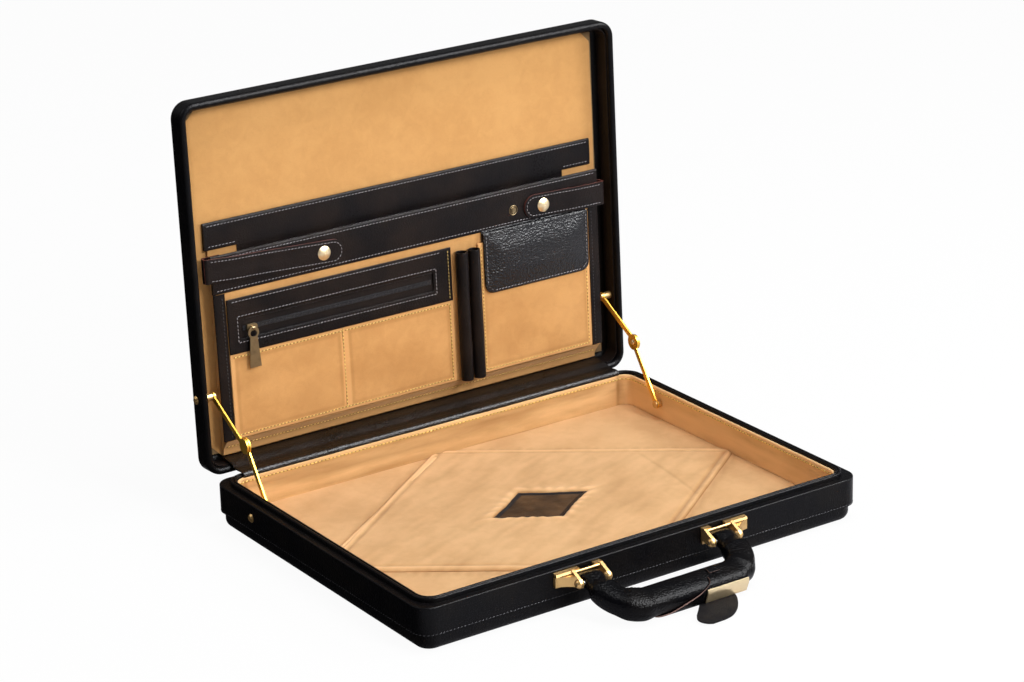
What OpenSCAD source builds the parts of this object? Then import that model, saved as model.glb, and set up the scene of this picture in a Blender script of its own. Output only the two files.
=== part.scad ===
// Slim leather attache case, open, with a folding stay on each side and a file organiser in the lid.
// X runs along the width, Y from the handle side to the hinges, Z up from the table.

/* [Case] */
// Outer width of both halves
case_w = 450; // [400:5:500]
// Outer depth of both halves, handle side to hinge side
case_d = 334; // [310:2:360]
// Plan radius of the outer corners
corner_r = 15; // [13:1:20]
// How far the lid stands open, from closed
open_angle = 92; // [60:1:100]

/* [Base] */
// Height of the straight leather band round the base
base_band = 25; // [24:1:40]
// Height of the moulded tray below the band
base_tray_h = 15; // [13:1:20]
// Width of the flat ledge that the lid lands on
ledge_w = 6.5; // [6:0.5:8]
// Width of the raised double welt inside the ledge
lip_w = 5.5; // [5:0.5:8]
// Height of the welt above the ledge
lip_h = 4.2; // [3:0.2:5]
// Plan radius of the welt's inner corners
opening_r = 12; // [10:1:16]
// Thickness of the suede on walls and floor
suede_t = 1.2; // [1:0.1:1.4]

/* [Lid] */
// Height of the straight leather band round the lid
lid_band = 17; // [16:1:30]
// Height of the moulded tray above the band
lid_tray_h = 10; // [9:1:16]
// Width of the rolled bead on the rim
lid_bead_w = 6.2; // [6:0.1:6.2]
// Depth from the rim to the suede back panel
lid_inner = 19; // [18:0.5:24]

/* [Trays] */
// Step in from the band to the trays
tray_step = 3; // [2:0.5:4]
// Wall of the moulded trays
tray_t = 3; // [2.5:0.5:3.5]
// Radius of the trays' outer edges
tray_edge_r = 8; // [6:0.5:8.5]

/* [Hinges] */
// Distance of the hinge pin behind the rear wall and below the ledge
pin_off = 3.3; // [3:0.1:4]
// Length of one hinge
hinge_len = 60; // [50:2:80]
// Distance of each hinge from the middle
hinge_x = 140; // [60:5:150]
// Thickness of the hinge leaves
leaf_t = 1.2; // [1:0.1:1.6]
// Diameter of the hinge pins
pin_d = 2.4; // [2:0.1:3]

/* [Lid stays] */
// Base pivot, forward of the hinge pin
stay_back = 68.3; // [64:0.1:72]
// Base pivot, below the ledge
stay_drop = 12.5; // [11:0.5:14]
// Lid pivot, up the lid from its hinge edge
stay_up = 69.5; // [66:0.5:72]
// Lid pivot, behind the lid's rim
stay_deep = 12; // [11:0.5:12.5]
// Pivot spacing of the lower link
lower_len = 61.9; // [61.5:0.1:64]
// Pivot spacing of the upper link
upper_len = 60; // [59.5:0.1:62]
// Width of the links
link_w = 5; // [4:0.5:6]
// Thickness of the links
link_t = 1.5; // [1.2:0.1:1.6]
// Diameter of the discs at the elbow
disc_d = 15; // [12:0.5:16]
// Diameter of the stay rivets
rivet_d = 4; // [3:0.2:5]

/* [Handle] */
// Spacing of the two handle fittings
handle_span = 135; // [120:1:150]
// Spacing of the ears of one fitting
ear_span = 28; // [26:0.5:30]
// Distance of the handle pins in front of the band
handle_out = 13; // [12:0.5:16]
// Distance of the handle pins below the ledge
handle_drop = 11.5; // [10:0.5:12]
// Reach from the pins to the middle of the grip
handle_reach = 40; // [36:1:48]
// Width of the grip's section, across the handle's plane
grip_w = 24; // [20:0.5:26]
// Thickness of the grip's section
grip_t = 20; // [16:0.5:22]
// Radius of the handle's bends, on its centre line
bend_r = 27; // [24:1:32]
// Diameter of the handle pins
handle_pin_d = 3.6; // [3:0.2:4]

/* [Organiser] */
// Space between the file pockets and the stays
pocket_gap = 2.7; // [2.5:0.1:12]
// Top edge of the rear file pocket, up the lid
rear_top = 223.5; // [205:0.5:240]
// Height of the leather band on the rear pocket
rear_band_h = 33.5; // [28:0.5:36]
// Top edge of the front file pocket
front_top = 196; // [188:0.5:200]
// Height of the leather band on the front pocket
front_band_h = 34.5; // [28:0.5:38]
// Bottom edge of the front pocket
front_bottom = 27; // [24:0.5:32]
// Space between the rear and the front pocket's walls
file_gap = 9; // [7:0.5:9]
// Width of the snap straps
strap_w = 20; // [16:0.5:22]

/* [Zip pocket] */
// Top edge of the zip pocket
zip_top = 155; // [150:0.5:156]
// Line where its leather top meets the suede
zip_split = 105; // [100:0.5:108]
// Middle line of the zip
zip_line = 126.5; // [124:0.5:130]
// Height of the window that shows the zip
zip_window_h = 18; // [14:0.5:20]
// Length of the zip pull
pull_len = 36; // [28:0.5:40]

/* [Pens and cards] */
// Outer diameter of the pen loops
pen_d = 11.6; // [11:0.2:13]
// Length of the pen loops
pen_len = 122; // [100:1:124]
// Width of the flap pocket
card_w = 122; // [100:1:140]
// Height of its flap
flap_h = 57; // [45:1:60]

/* [Fits] */
// Gap between faces that are glued or sewn together
seat = 0.1; // [0.08:0.02:0.2]
// Gap round turning pins
pivot_gap = 0.1; // [0.05:0.01:0.1]
// Gap between soft pieces and what moves beside them
soft_gap = 0.4; // [0.3:0.05:0.5]

/* [Hidden] */
$fn = 48;
base_h = base_band + base_tray_h;
rim_z = base_h + soft_gap;
rim_w = ledge_w + lip_w;
hinge_y = case_d / 2 + pin_off;
hinge_z = base_h - pin_off;
knuckle_r = pin_off - seat;
floor_z = 10.6;
floor_top = floor_z + suede_t;
pad_t = 2.2;
lid_wall = lid_bead_w - 0.2;
lining_half_w = case_w / 2 - rim_w - seat - suede_t;
lining_half_d = case_d / 2 - rim_w - seat - suede_t;
front_y = -case_d / 2;
// The lip's outer corners, which the frame's corner blocks fill up to
lip_r = opening_r + lip_w;
tray_corner_r = corner_r - 1;
edge_r = 1;
lining_t = 1;
panel_t = 1.8;
panel_inset_x = 14;
panel_inset_y = 9;
panel_cut = 12;
patch_half_w = 46.5;
patch_half_d = 33.5;
patch_sink = 1.2;
bead_h = 4;
leaf_h = 14;
leaf_lift = 2.7;
screw_rise = leaf_h - 4;
screw_d = 2.4;
screw_head = 4.8;
screw_len = 5;
cover_t = 1.4;
cover_half = lining_half_w - 9.7;
// Places of the stays' pivots: the elbow is where the two links meet with the lid open
stay_y = hinge_y - stay_back;
stay_z = base_h - stay_drop;
base_pivot = [stay_y, stay_z];
lid_arm = [case_d / 2 - stay_up - hinge_y, rim_z + stay_deep - hinge_z];
lid_pivot = [hinge_y + lid_arm[0] * cos(open_angle) + lid_arm[1] * sin(open_angle),
             hinge_z - lid_arm[0] * sin(open_angle) + lid_arm[1] * cos(open_angle)];
stay_span = norm(lid_pivot - base_pivot);
stay_foot = (lower_len * lower_len - upper_len * upper_len + stay_span * stay_span) / (2 * stay_span);
stay_rise = sqrt(lower_len * lower_len - stay_foot * stay_foot);
stay_dir = (lid_pivot - base_pivot) / stay_span;
elbow = base_pivot + stay_dir * stay_foot + [-stay_dir[1], stay_dir[0]] * stay_rise;
stay_clear = 5.5;
lower_x = lining_half_w - stay_clear;
upper_x = lower_x + link_t + 0.4;
rib_w = 1.2;
rib_h = 0.3;
// The handle fittings and the grip
ear_top = 2.2;
ear_brow = 4;
ear_lip = 3.2;
ear_nose = 2.6;
ear_chin = 3.6;
bar_d = 2.2;
bar_out = 3.9;
bar_drop = 4.6;
root_w = 8;
root_h = 2.4;
plate_up = 2.5;
plate_low = 5;
ear_t = 3;
ball_d = 8;
plate_t = 2;
screw_side = ear_span / 2 - ear_t / 2 - screw_head / 2 - 1.7;
screw_low = 1;
wing_w = 15;
wing_h = 8.6;
wing_top = 5.6;
handle_end_t = 16;
neck_t = 15;
handle_end_w = ear_span - ball_d - 1;
core_w = 12;
core_t = 2.4;
grip_r = 7;
tag_x = 30;
plate_len = 42;
tag_gap = 0.4;
tag_t = 1.5;
plate_skin = 1;
plate_foot = 5;
neck = 10;
tip_r = 7;
tab_w = 12;
tag_len = 27.5;
// The handle droops until the strap round its grip nears the table
droop_arm = [handle_reach + grip_w / 2 - grip_r, grip_t / 2 - grip_r];
droop_h = base_h - handle_drop - grip_r - tag_gap - tag_t - 0.4;
droop = asin(droop_h / norm(droop_arm)) - atan2(droop_arm[1], droop_arm[0]);
// Where the flap turns, in front of the plate's lower edge
tag_out = handle_reach + grip_w / 2 + tag_gap + tag_t + seat + plate_skin + 0.3 + tag_t / 2;
tag_under = plate_foot + 0.5;
tag_root = [front_y - handle_out - tag_out * cos(droop) + tag_under * sin(droop),
            base_h - handle_drop - tag_out * sin(droop) - tag_under * cos(droop)];
// Depths on the lid's face, from its rim
sheet_t = 1;
band_t = 1;
trim_t = 1.4;
tape_t = 1;
tape_lap = 8;
tape_rim = 3;
coil_w = 3.2;
// Half width of the file pockets, and how far in from their edges the smaller pockets stand
pocket_half = lower_x - pocket_gap;
zip_in = 11.3;
window_in = 12.2;
window_out = 20;
slider_in = 22.2;
card_in = 13.3;
sheet_in = 3;
band_lap = 8;
// The rear band is cut away at both ends, where the pocket's suede shows
notch_w = 32;
notch_h = 9;
strip_foot = 11.5;
strip_bend = 17;
fold_out = 2;
fold_in = 13;
fold_t = 0.8;
rear_n = -lid_inner + 1.4;
front_n = rear_n + sheet_t + file_gap;
face_n = front_n + sheet_t;
band_face_n = face_n + band_t;
strap_t = 2;
strap_n = band_face_n + 0.3;
// Each strap's length, and how far up the lid the middle of its root and of its tip lie
strap_root_x = lining_half_w - 1.8;
strap_left_way = [138, 184, 176];
strap_right_way = [89, 172.5, 175];
snap_in = 20.5;
stud_gap = 32;
snap_d = 13;
snap_dome = 11.4;
snap_rise = 2;
stud_d = 5;
slider_n = face_n + tape_t + 0.9;
lug_n = 3.8;
pen_wall = 1;
card_x = pocket_half - card_in - card_w;
pen_x = card_x - 1.5 * pen_d - 2.8;
zip_x0 = -pocket_half + zip_in;
zip_x1 = pen_x - 9;
card_t = 2.6;
card_top = 160;
flap_t = 2.2;
flap_n = face_n + seat + card_t + soft_gap;

leather = "#1b1a1c";
leather_soft = "#232124";
suede = "#d9a468";
brass = "#c9a24a";
pale_brass = "#dcc486";
steel = "#9a9a98";
board = "#8b6a47";
old_brass = "#8d7743";

// Closed lid turned to where it stands open
module open_lid() {
    translate([0, hinge_y, hinge_z]) rotate([-open_angle, 0, 0])
        translate([0, -hinge_y, -hinge_z]) children();
}

// Lid face seen from the front: x across, y up from the hinge edge, z out from the rim
module on_lid() {
    open_lid() translate([0, case_d / 2, rim_z]) rotate([180, 0, 0]) children();
}

module rounded_rect(w, d, r) {
    square([w - 2 * r, d], center = true);
    square([w, d - 2 * r], center = true);
    for (sx = [-1, 1], sy = [-1, 1])
        translate([sx * (w / 2 - r), sy * (d / 2 - r)]) circle(r);
}

// A wall between two rounded rectangles, given by how far each lies inside the case's outline
module ring(inset_out, r_out, inset_in, r_in, h) {
    linear_extrude(h) difference() {
        rounded_rect(case_w - 2 * inset_out, case_d - 2 * inset_out, r_out);
        rounded_rect(case_w - 2 * inset_in, case_d - 2 * inset_in, r_in);
    }
}

// A profile carried round a rounded rectangle: x is outward from the line, y is up
module sweep_around(w, d, r) {
    for (i = [0:3]) {
        along = i % 2 == 0 ? w : d;
        across = i % 2 == 0 ? d : w;
        rotate(90 * i) {
            translate([-along / 2 + r, -across / 2, 0]) rotate([90, 0, 90])
                linear_extrude(along - 2 * r) mirror([1, 0]) children();
            translate([along / 2 - r, -across / 2 + r, 0]) rotate(-90)
                rotate_extrude(angle = 90) translate([r, 0]) children();
        }
    }
}

function arc(cx, cy, r, from, to, steps = 8) =
    [for (i = [0:steps]) let (a = from + (to - from) * i / steps) [cx + r * cos(a), cy + r * sin(a)]];

// A moulded tray, open at the top, with its outer edge rounded
module tray(h) {
    w = case_w - 2 * tray_step;
    d = case_d - 2 * tray_step;
    e = tray_edge_r;
    sweep_around(w, d, tray_corner_r) intersection() {
        translate([-e - 2, 0]) square([e + 2, h]);
        difference() {
            union() {
                translate([-e, e]) circle(r = e);
                translate([-e, e]) square([e, h]);
                translate([-2 * e, 0]) square([e, e]);
            }
            translate([-e, e]) circle(r = e - tray_t);
            translate([-2 * e - 1, e]) square([2 * e + 1 - tray_t, h]);
            translate([-2 * e - 1, tray_t]) square([e + 1, h]);
        }
    }
    linear_extrude(tray_t)
        rounded_rect(w - 2 * (e + 1), d - 2 * (e + 1), tray_corner_r - e - 1);
}

// Both sides of the case, the right side as drawn and the left mirrored
module both_sides() {
    children();
    mirror([1, 0, 0]) children();
}

// A rod along X
module rod(d, x0, x1) {
    translate([x0, 0, 0]) rotate([0, 90, 0]) cylinder(d = d, h = x1 - x0);
}

// A point of a row, moved sideways by d, with the corner mitred
function beside(points, i, d) =
    let (a = i > 0 ? points[i] - points[i - 1] : points[1] - points[0],
         b = i < len(points) - 1 ? points[i + 1] - points[i] : a,
         u = a / norm(a) + b / norm(b),
         side = [-u[1], u[0]])
    points[i] + side * 2 * d / (side * side);

// A ribbon of even thickness through a row of points
module ribbon(points, t) {
    last = len(points) - 1;
    polygon(concat([for (i = [0:last]) beside(points, i, t / 2)],
                   [for (i = [0:last]) beside(points, last - i, -t / 2)]));
}

// Base: the leather-covered frame, its welt, its tray and its padding

module stay_bores(d) {
    translate([0, stay_y, stay_z]) rod(d, -case_w, case_w);
}

module base_frame() {
    color(leather) difference() {
        union() {
            translate([0, 0, base_tray_h]) sweep_around(case_w, case_d, corner_r) {
                translate([-ledge_w, 0]) square([ledge_w, base_band - edge_r]);
                translate([-ledge_w, 0]) square([ledge_w - edge_r, base_band]);
                translate([-edge_r, base_band - edge_r]) circle(r = edge_r);
            }
            translate([0, 0, base_tray_h])
                ring(ledge_w - 1, corner_r - ledge_w + 1, ledge_w, lip_r, base_band);
        }
        stay_bores(rivet_d + 2 * pivot_gap);
        handle_screw_bores(screw_d + 2 * pivot_gap);
        hinge_screw_places() hinge_screw(screw_d + 2 * pivot_gap);
    }
}

module base_lip() {
    inner = rim_w;
    outer = ledge_w + seat;
    ridge = (inner - outer) / 4;
    foot = base_tray_h + seat;
    color(leather) difference() {
        union() {
            translate([0, 0, foot])
                ring(outer, lip_r - seat, inner, opening_r, base_h + lip_h - ridge - foot);
            for (n = [1, 3])
                translate([0, 0, base_h + lip_h - ridge])
                    sweep_around(case_w - 2 * (outer + n * ridge), case_d - 2 * (outer + n * ridge),
                                 opening_r + inner - outer - n * ridge)
                        circle(r = ridge, $fn = 24);
        }
        stay_bores(rivet_d + 2 * pivot_gap);
    }
}

module base_tray() {
    color(leather) tray(base_tray_h);
}

module base_wall_lining() {
    color(suede) difference() {
        translate([0, 0, floor_top + seat])
            ring(rim_w + seat, opening_r - seat, rim_w + seat + suede_t, opening_r - seat - suede_t,
                 base_h + lip_h - 2.4 - floor_top);
        stay_bores(rivet_d + 4);
    }
}

module floor_pad() {
    color(board) translate([0, 0, tray_t + seat]) linear_extrude(floor_z - tray_t - 2 * seat)
        rounded_rect(case_w - 2 * rim_w, case_d - 2 * rim_w, opening_r);
}

module floor_lining() {
    color(suede) translate([0, 0, floor_z]) linear_extrude(suede_t)
        rounded_rect(case_w - 2 * rim_w + 4, case_d - 2 * rim_w + 4, opening_r + 2);
}

// The padded middle of the floor: a wide diamond with its four points cut off by the walls
module diamond(half_w, half_d) {
    polygon([[-half_w, 0], [0, -half_d], [half_w, 0], [0, half_d]]);
}

module floor_centre_panel() {
    color(suede) difference() {
        translate([0, 0, floor_top]) intersection() {
            linear_extrude(pad_t) diamond(lining_half_w + 8, lining_half_d + 8);
            linear_extrude(pad_t) square([2 * lining_half_w - 2, 2 * lining_half_d - 2], center = true);
        }
        translate([0, 0, floor_top + pad_t - patch_sink])
            linear_extrude(pad_t) diamond(patch_half_w + seat, patch_half_d + seat);
    }
}

module floor_patch() {
    color(leather_soft) translate([0, 0, floor_top + pad_t - patch_sink])
        linear_extrude(patch_sink - 0.2) diamond(patch_half_w, patch_half_d);
}

// Hinges: two butt hinges behind the rear walls, pins along X

module hinge_places() {
    for (side = [-1, 1]) translate([side * hinge_x, hinge_y, hinge_z]) children();
}

module knuckle(x0, x1) {
    difference() {
        rod(2 * knuckle_r, x0, x1);
        rod(pin_d + 2 * pivot_gap, x0 - 1, x1 + 1);
    }
}

// A leaf reaches down from the pin by leaf_h, flat on a rear wall
module hinge_leaf(knuckles, base_side) {
    third = hinge_len / 3;
    color(brass) difference() {
        union() {
            for (k = knuckles) {
                knuckle(-hinge_len / 2 + k * third + seat, -hinge_len / 2 + (k + 1) * third - seat);
                translate([-hinge_len / 2 + k * third + seat, -knuckle_r, base_side ? -4 : 0])
                    difference() {
                        cube([third - 2 * seat, leaf_t, 4]);
                        translate([-1, knuckle_r, base_side ? 4 : 0])
                            rod(pin_d + 2 * pivot_gap, 0, third + 2);
                    }
            }
            translate([-hinge_len / 2, -knuckle_r, base_side ? -leaf_h : leaf_lift])
                cube([hinge_len, leaf_t, leaf_h - leaf_lift]);
        }
        rod(pin_d + 2 * pivot_gap, -hinge_len, hinge_len);
        for (sx = [-1, 1])
            translate([sx * hinge_len / 3, -knuckle_r - 1, (base_side ? -1 : 1) * screw_rise])
                rotate([-90, 0, 0]) cylinder(d = screw_d + 2 * pivot_gap, h = leaf_t + 2);
    }
}

module hinge_screw(d) {
    translate([0, -screw_len, 0]) rotate([-90, 0, 0]) cylinder(d = d, h = screw_len + leaf_t + 0.4);
}

// Where the base leaves' screws go into the rear wall
module hinge_screw_places() {
    hinge_places() for (sx = [-1, 1])
        translate([sx * hinge_len / 3, -knuckle_r, -screw_rise]) children();
}

module lid_screw_places() {
    hinge_places() for (sx = [-1, 1])
        translate([sx * hinge_len / 3, -knuckle_r, screw_rise]) children();
}

module screw_with_head() {
    hinge_screw(screw_d);
    translate([0, leaf_t + seat, 0]) rotate([-90, 0, 0])
        cylinder(d1 = screw_head, d2 = screw_head - 1.6, h = 0.8);
}

module hinge_leaves_base() {
    hinge_places() hinge_leaf([0, 2], true);
}

module hinge_screws_base() {
    color(brass) hinge_screw_places() screw_with_head();
}

module hinge_leaves_lid() {
    open_lid() hinge_places() hinge_leaf([1], false);
}

module hinge_screws_lid() {
    color(brass) open_lid() lid_screw_places() screw_with_head();
}

module hinge_pins() {
    color(steel) hinge_places() {
        rod(pin_d, -hinge_len / 2 - 0.6, hinge_len / 2 + 0.6);
        for (sx = [-1, 1]) translate([sx * (hinge_len / 2 + 0.9), 0, 0]) rod(pin_d + 1.4, -0.6, 0.6);
    }
}

// The leather flap that hides the hinges inside, from the base's rear wall over its welt to the lid
module hinge_cover() {
    inner_y = lining_half_d - soft_gap - cover_t / 2;
    over_y = case_d / 2 - ledge_w - lip_w / 2;
    top_z = base_h + lip_h + soft_gap + cover_t / 2;
    lid_y = hinge_y + soft_gap + pin_off + lid_bead_w / 2;
    lid_z = base_h + lid_bead_w + 0.9 + soft_gap + cover_t / 2;
    end_y = hinge_y + pin_off + lid_inner - 1.4;
    color(leather_soft) translate([-cover_half, 0, 0]) rotate([90, 0, 90]) linear_extrude(2 * cover_half)
        ribbon([[inner_y, base_h - 5.5], [inner_y, base_h + lip_h - 1.5], [inner_y + 1.6, top_z],
                [over_y + 1.5, top_z + 0.3], [case_d / 2, base_h + lip_h + 1.2], [lid_y - 5, lid_z - 1.2],
                [lid_y, lid_z + 0.2], [end_y, lid_z + 0.4]], cover_t);
}

// Handle: two brass fittings, a padded leather grip round a steel core, and its tag

module handle_places() {
    for (side = [-1, 1])
        mirror([side < 0 ? 1 : 0, 0, 0]) translate([handle_span / 2, front_y, base_h]) children();
}

module handle_screw_places() {
    handle_places() for (sx = [-1, 1]) translate([sx * screw_side, 0, -handle_drop - screw_low]) children();
}

module handle_screw_bores(d) {
    handle_screw_places() rotate([90, 0, 0]) translate([0, 0, -screw_len])
        cylinder(d = d, h = screw_len + 5);
}

// Side outline of an ear, from the wall out to the pin: x is out from the wall, y is up
module ear_outline() {
    tip = handle_out + ear_lip;
    polygon([[0, -ear_top], [ear_brow, -ear_top - 0.2], [tip - 2.2, -handle_drop + ear_nose + 1.6],
             [tip, -handle_drop + ear_nose], [tip, -handle_drop - ear_nose - 0.2],
             [tip - 5.2, -handle_drop - ear_chin], [0, -handle_drop - 1.5]]);
}

module ear(x0, w) {
    translate([x0, 0, 0]) rotate([90, 0, 90]) linear_extrude(w) mirror([1, 0]) ear_outline();
}

module handle_brackets() {
    half = ear_span / 2;
    color(brass) handle_places() difference() {
        union() {
            ear(-half - ear_t / 2, ear_t);
            ear(half - ear_t / 2, ear_t);
            for (sx = [-1, 1]) translate([sx * half, -handle_out, -handle_drop])
                sphere(d = ball_d);
            translate([-half - ear_t / 2, -plate_t, -handle_drop - plate_low])
                cube([ear_span + ear_t, plate_t, plate_low + plate_up]);
            for (sx = [-1, 1]) translate([sx * (half - (root_w - ear_t) / 2) - root_w / 2, -bar_out, -ear_top - root_h])
                cube([root_w, bar_out, root_h]);
            translate([0, -bar_out, -bar_drop]) rod(bar_d, -half, half);
            translate([half, 0, -ear_top]) rotate([90, 0, 90]) linear_extrude(wing_w + ear_t / 2)
                polygon([[0, 0], [-3.6, -0.6], [-4.4, -2.6], [0, -2.6]]);
        }
        translate([0, -handle_out, -handle_drop])
            rod(handle_pin_d + 2 * pivot_gap, -half - ball_d, half + ball_d);
        for (sx = [-1, 1]) translate([sx * screw_side, 1, -handle_drop - screw_low])
            rotate([90, 0, 0]) cylinder(d = screw_d + 2 * pivot_gap, h = plate_t + 2);
        translate([-ear_span, 0, -case_d]) cube([case_w, case_w, 2 * case_d]);
    }
}

module bracket_screws() {
    color(brass) handle_screw_places() {
        translate([0, screw_len, 0]) rotate([90, 0, 0])
            cylinder(d = screw_d, h = screw_len + plate_t + 0.4);
        translate([0, -plate_t - seat, 0]) rotate([90, 0, 0])
            cylinder(d1 = screw_head, d2 = screw_head - 1.6, h = 1);
    }
}

module handle_pins() {
    color(steel) handle_places() translate([0, -handle_out, -handle_drop])
        rod(handle_pin_d, -ear_span / 2 - 2.6, ear_span / 2 + 2.6);
}

// The sliding wing outside each fitting, seen from above as a wedge that dies into the wall
module latch_wing() {
    x0 = ear_span / 2 + ear_t / 2 + soft_gap;
    color(pale_brass) handle_places() difference() {
        translate([x0, 0, -wing_top - wing_h]) linear_extrude(wing_h) polygon(concat(
            [[0, -0.3], [wing_w, -0.3], [wing_w, -3.2]],
            [for (i = [1:7]) let (f = i / 8) [wing_w * (1 - f), -3.2 - (handle_out - 4.4) * f * f]],
            [[0, -handle_out + 1.2]]));
        translate([ear_span / 2, -handle_out, -handle_drop]) sphere(d = ball_d + 2 * soft_gap);
    }
}

module latch_slide_left() {
    intersection() {
        latch_wing();
        translate([-case_w, -case_d, 0]) cube([case_w, case_d, 2 * base_h]);
    }
}

module latch_slide_right() {
    intersection() {
        latch_wing();
        translate([0, -case_d, 0]) cube([case_w, case_d, 2 * base_h]);
    }
}

// The handle's plane: x across the case, y out from the pins; it droops until the grip nears the table
module on_handle() {
    translate([0, front_y - handle_out, base_h - handle_drop]) rotate([droop, 0, 0])
        mirror([0, 1, 0]) children();
}

// A section carried along the handle's line: x is out of the loop, y is through it
module along_handle(start) {
    leg = handle_span / 2;
    both_sides() {
        translate([leg, start, 0]) rotate([-90, 0, 0]) linear_extrude(handle_reach - bend_r - start)
            mirror([0, 1]) children();
        translate([leg - bend_r, handle_reach - bend_r, 0])
            rotate_extrude(angle = 90) translate([bend_r, 0]) children();
    }
    translate([-leg + bend_r, handle_reach, 0]) rotate([90, 0, 90])
        linear_extrude(2 * (leg - bend_r)) children();
}

module handle_grip() {
    color(leather) on_handle() difference() {
        union() {
            along_handle(neck) rounded_rect(grip_w, grip_t, grip_r);
            both_sides() translate([handle_span / 2, 0, 0]) {
                rod(handle_end_t, -handle_end_w / 2, handle_end_w / 2);
                translate([-handle_end_w / 2, 0, 0]) rotate([90, 0, 90]) linear_extrude(handle_end_w)
                    polygon([[0, neck_t / 2 - 0.3], [neck - 1.5, neck_t / 2], [neck + 0.5, grip_t / 2 - 1],
                             [neck + 0.5, -grip_t / 2 + 1], [neck - 1.5, -neck_t / 2], [0, -neck_t / 2 + 0.3]]);
            }
        }
        both_sides() translate([handle_span / 2, 0, 0])
            rod(handle_pin_d + 2 * pivot_gap, -grip_w, grip_w);
        core_path(core_w + 2 * seat, core_t + 2 * seat, -seat);
    }
}

module core_path(w, t, slack) {
    along_handle(handle_pin_d + 1.6 + slack) square([w, t], center = true);
}

module handle_core() {
    color(steel) on_handle() core_path(core_w, core_t, 0);
}

// The plate on the outer side of the grip, bowed round it and turned over at both edges
module tag_plate() {
    color(pale_brass) on_handle() translate([tag_x - plate_len / 2, handle_reach, 0])
        rotate([90, 0, 90]) linear_extrude(plate_len) intersection() {
            wrap(tag_gap + tag_t + seat, plate_skin);
            translate([grip_w / 2 - 3, -plate_foot]) square([grip_w, grip_t / 2 - 2 + plate_foot]);
        }
}

// The leather tag: a strap looped round the grip and a rounded flap lying out in front of it
module tag_strap() {
    under_w = plate_len * 2;
    color(leather_soft) on_handle() translate([tag_x, handle_reach, 0]) {
        rotate([90, 0, 90]) linear_extrude(tab_w, center = true) wrap(tag_gap, tag_t);
        difference() {
            translate([plate_len / 2 - under_w, 0, 0]) rotate([90, 0, 90])
            linear_extrude(under_w) intersection() {
                wrap(tag_gap, tag_t);
                union() {
                    translate([-grip_w / 2 + grip_r, -grip_t]) square([grip_w - grip_r, grip_t - 4]);
                    translate([grip_w / 2 - 3, -grip_t]) square([grip_w, grip_t + 8]);
                }
            }
            translate([0, grip_w, 0]) rotate([90, 0, 0]) linear_extrude(2 * grip_w)
                polygon([[-plate_len / 2 - 1, grip_t], [-plate_len / 2 - 1, 8],
                         [plate_len / 2 - under_w - 1, -10], [plate_len / 2 - under_w - 1, grip_t]]);
        }
    }
}

// A skin round the grip's section, gap away from it
module wrap(gap, t) {
    difference() {
        rounded_rect(grip_w + 2 * (gap + t), grip_t + 2 * (gap + t), grip_r + gap + t);
        rounded_rect(grip_w + 2 * gap, grip_t + 2 * gap, grip_r + gap);
    }
}

// The flap turns on its rounded upper edge and slopes down to the table
module tag_flap() {
    slope = asin((tag_root[1] - tag_t / 2 - 0.4) / tag_len);
    skew = tag_len - tip_r;
    x0 = tag_x - plate_len / 2 + 1;
    x1 = tag_x + plate_len / 2 - 1;
    color(leather) translate([0, tag_root[0], tag_root[1]]) rotate([slope, 0, 0]) {
        rod(tag_t, x0, x1);
        translate([0, 0, -tag_t / 2]) linear_extrude(tag_t) mirror([0, 1])
            polygon(concat([[x0, 0], [x1, 0]], arc(x1 - 2 * skew, skew, tip_r, 54, 94),
                           arc(x0 - 0.75 * skew, skew, tip_r, 94, 233)));
    }
}

// Lid: frame, rolled bead, tray and lining, drawn closed and then opened

module lid_stay_bores(d) {
    translate([0, case_d / 2 - stay_up, rim_z + stay_deep]) rod(d, -case_w, case_w);
}

module lid_bead() {
    r = lid_bead_w / 2;
    color(leather) open_lid() translate([0, 0, rim_z])
        sweep_around(case_w - lid_bead_w - 2 * seat, case_d - lid_bead_w - 2 * seat, corner_r - r)
            intersection() {
                union() {
                    translate([0, r]) circle(r = r);
                    translate([-r, r]) square([2 * r, bead_h]);
                }
                translate([-r, 0]) square([2 * r, bead_h]);
            }
}

module lid_frame() {
    color(leather) open_lid() difference() {
        translate([0, 0, rim_z + bead_h + seat])
            ring(0, corner_r, lid_wall, corner_r - lid_wall, lid_band - bead_h - seat);
        lid_stay_bores(rivet_d + 2 * pivot_gap);
        lid_screw_places() hinge_screw(screw_d + 2 * pivot_gap);
    }
}

module lid_tray() {
    color(leather) open_lid() translate([0, 0, rim_z + lid_band + lid_tray_h])
        mirror([0, 0, 1]) tray(lid_tray_h);
}

module lid_padding() {
    inset = tray_step + tray_edge_r + 1.5;
    color(board) open_lid() translate([0, 0, rim_z + lid_inner + panel_t + seat])
        linear_extrude(lid_band + lid_tray_h - tray_t - lid_inner - panel_t - 2 * seat)
            square([case_w - 2 * inset, case_d - 2 * inset], center = true);
}

module lid_wall_lining() {
    wall_r = tray_corner_r - tray_t - seat;
    color(leather_soft) open_lid() difference() {
        translate([0, 0, rim_z + bead_h + 2 * seat])
            ring(lid_wall + seat, wall_r, lid_wall + seat + lining_t, wall_r - lining_t,
                 lid_inner - bead_h - 3 * seat);
        lid_stay_bores(rivet_d + 4);
    }
}

module lid_back_panel() {
    w = case_w - 2 * panel_inset_x;
    h = case_d - 2 * panel_inset_y;
    c = panel_cut;
    color(suede) on_lid() translate([-w / 2, panel_inset_y, -lid_inner - panel_t]) linear_extrude(panel_t)
        polygon([[c, 0], [w - c, 0], [w, c], [w, h - c], [w - c, h], [c, h], [0, h - c], [0, c]]);
}

// Stays: rivets in both walls and two links on each side that fold at a disc

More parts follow.
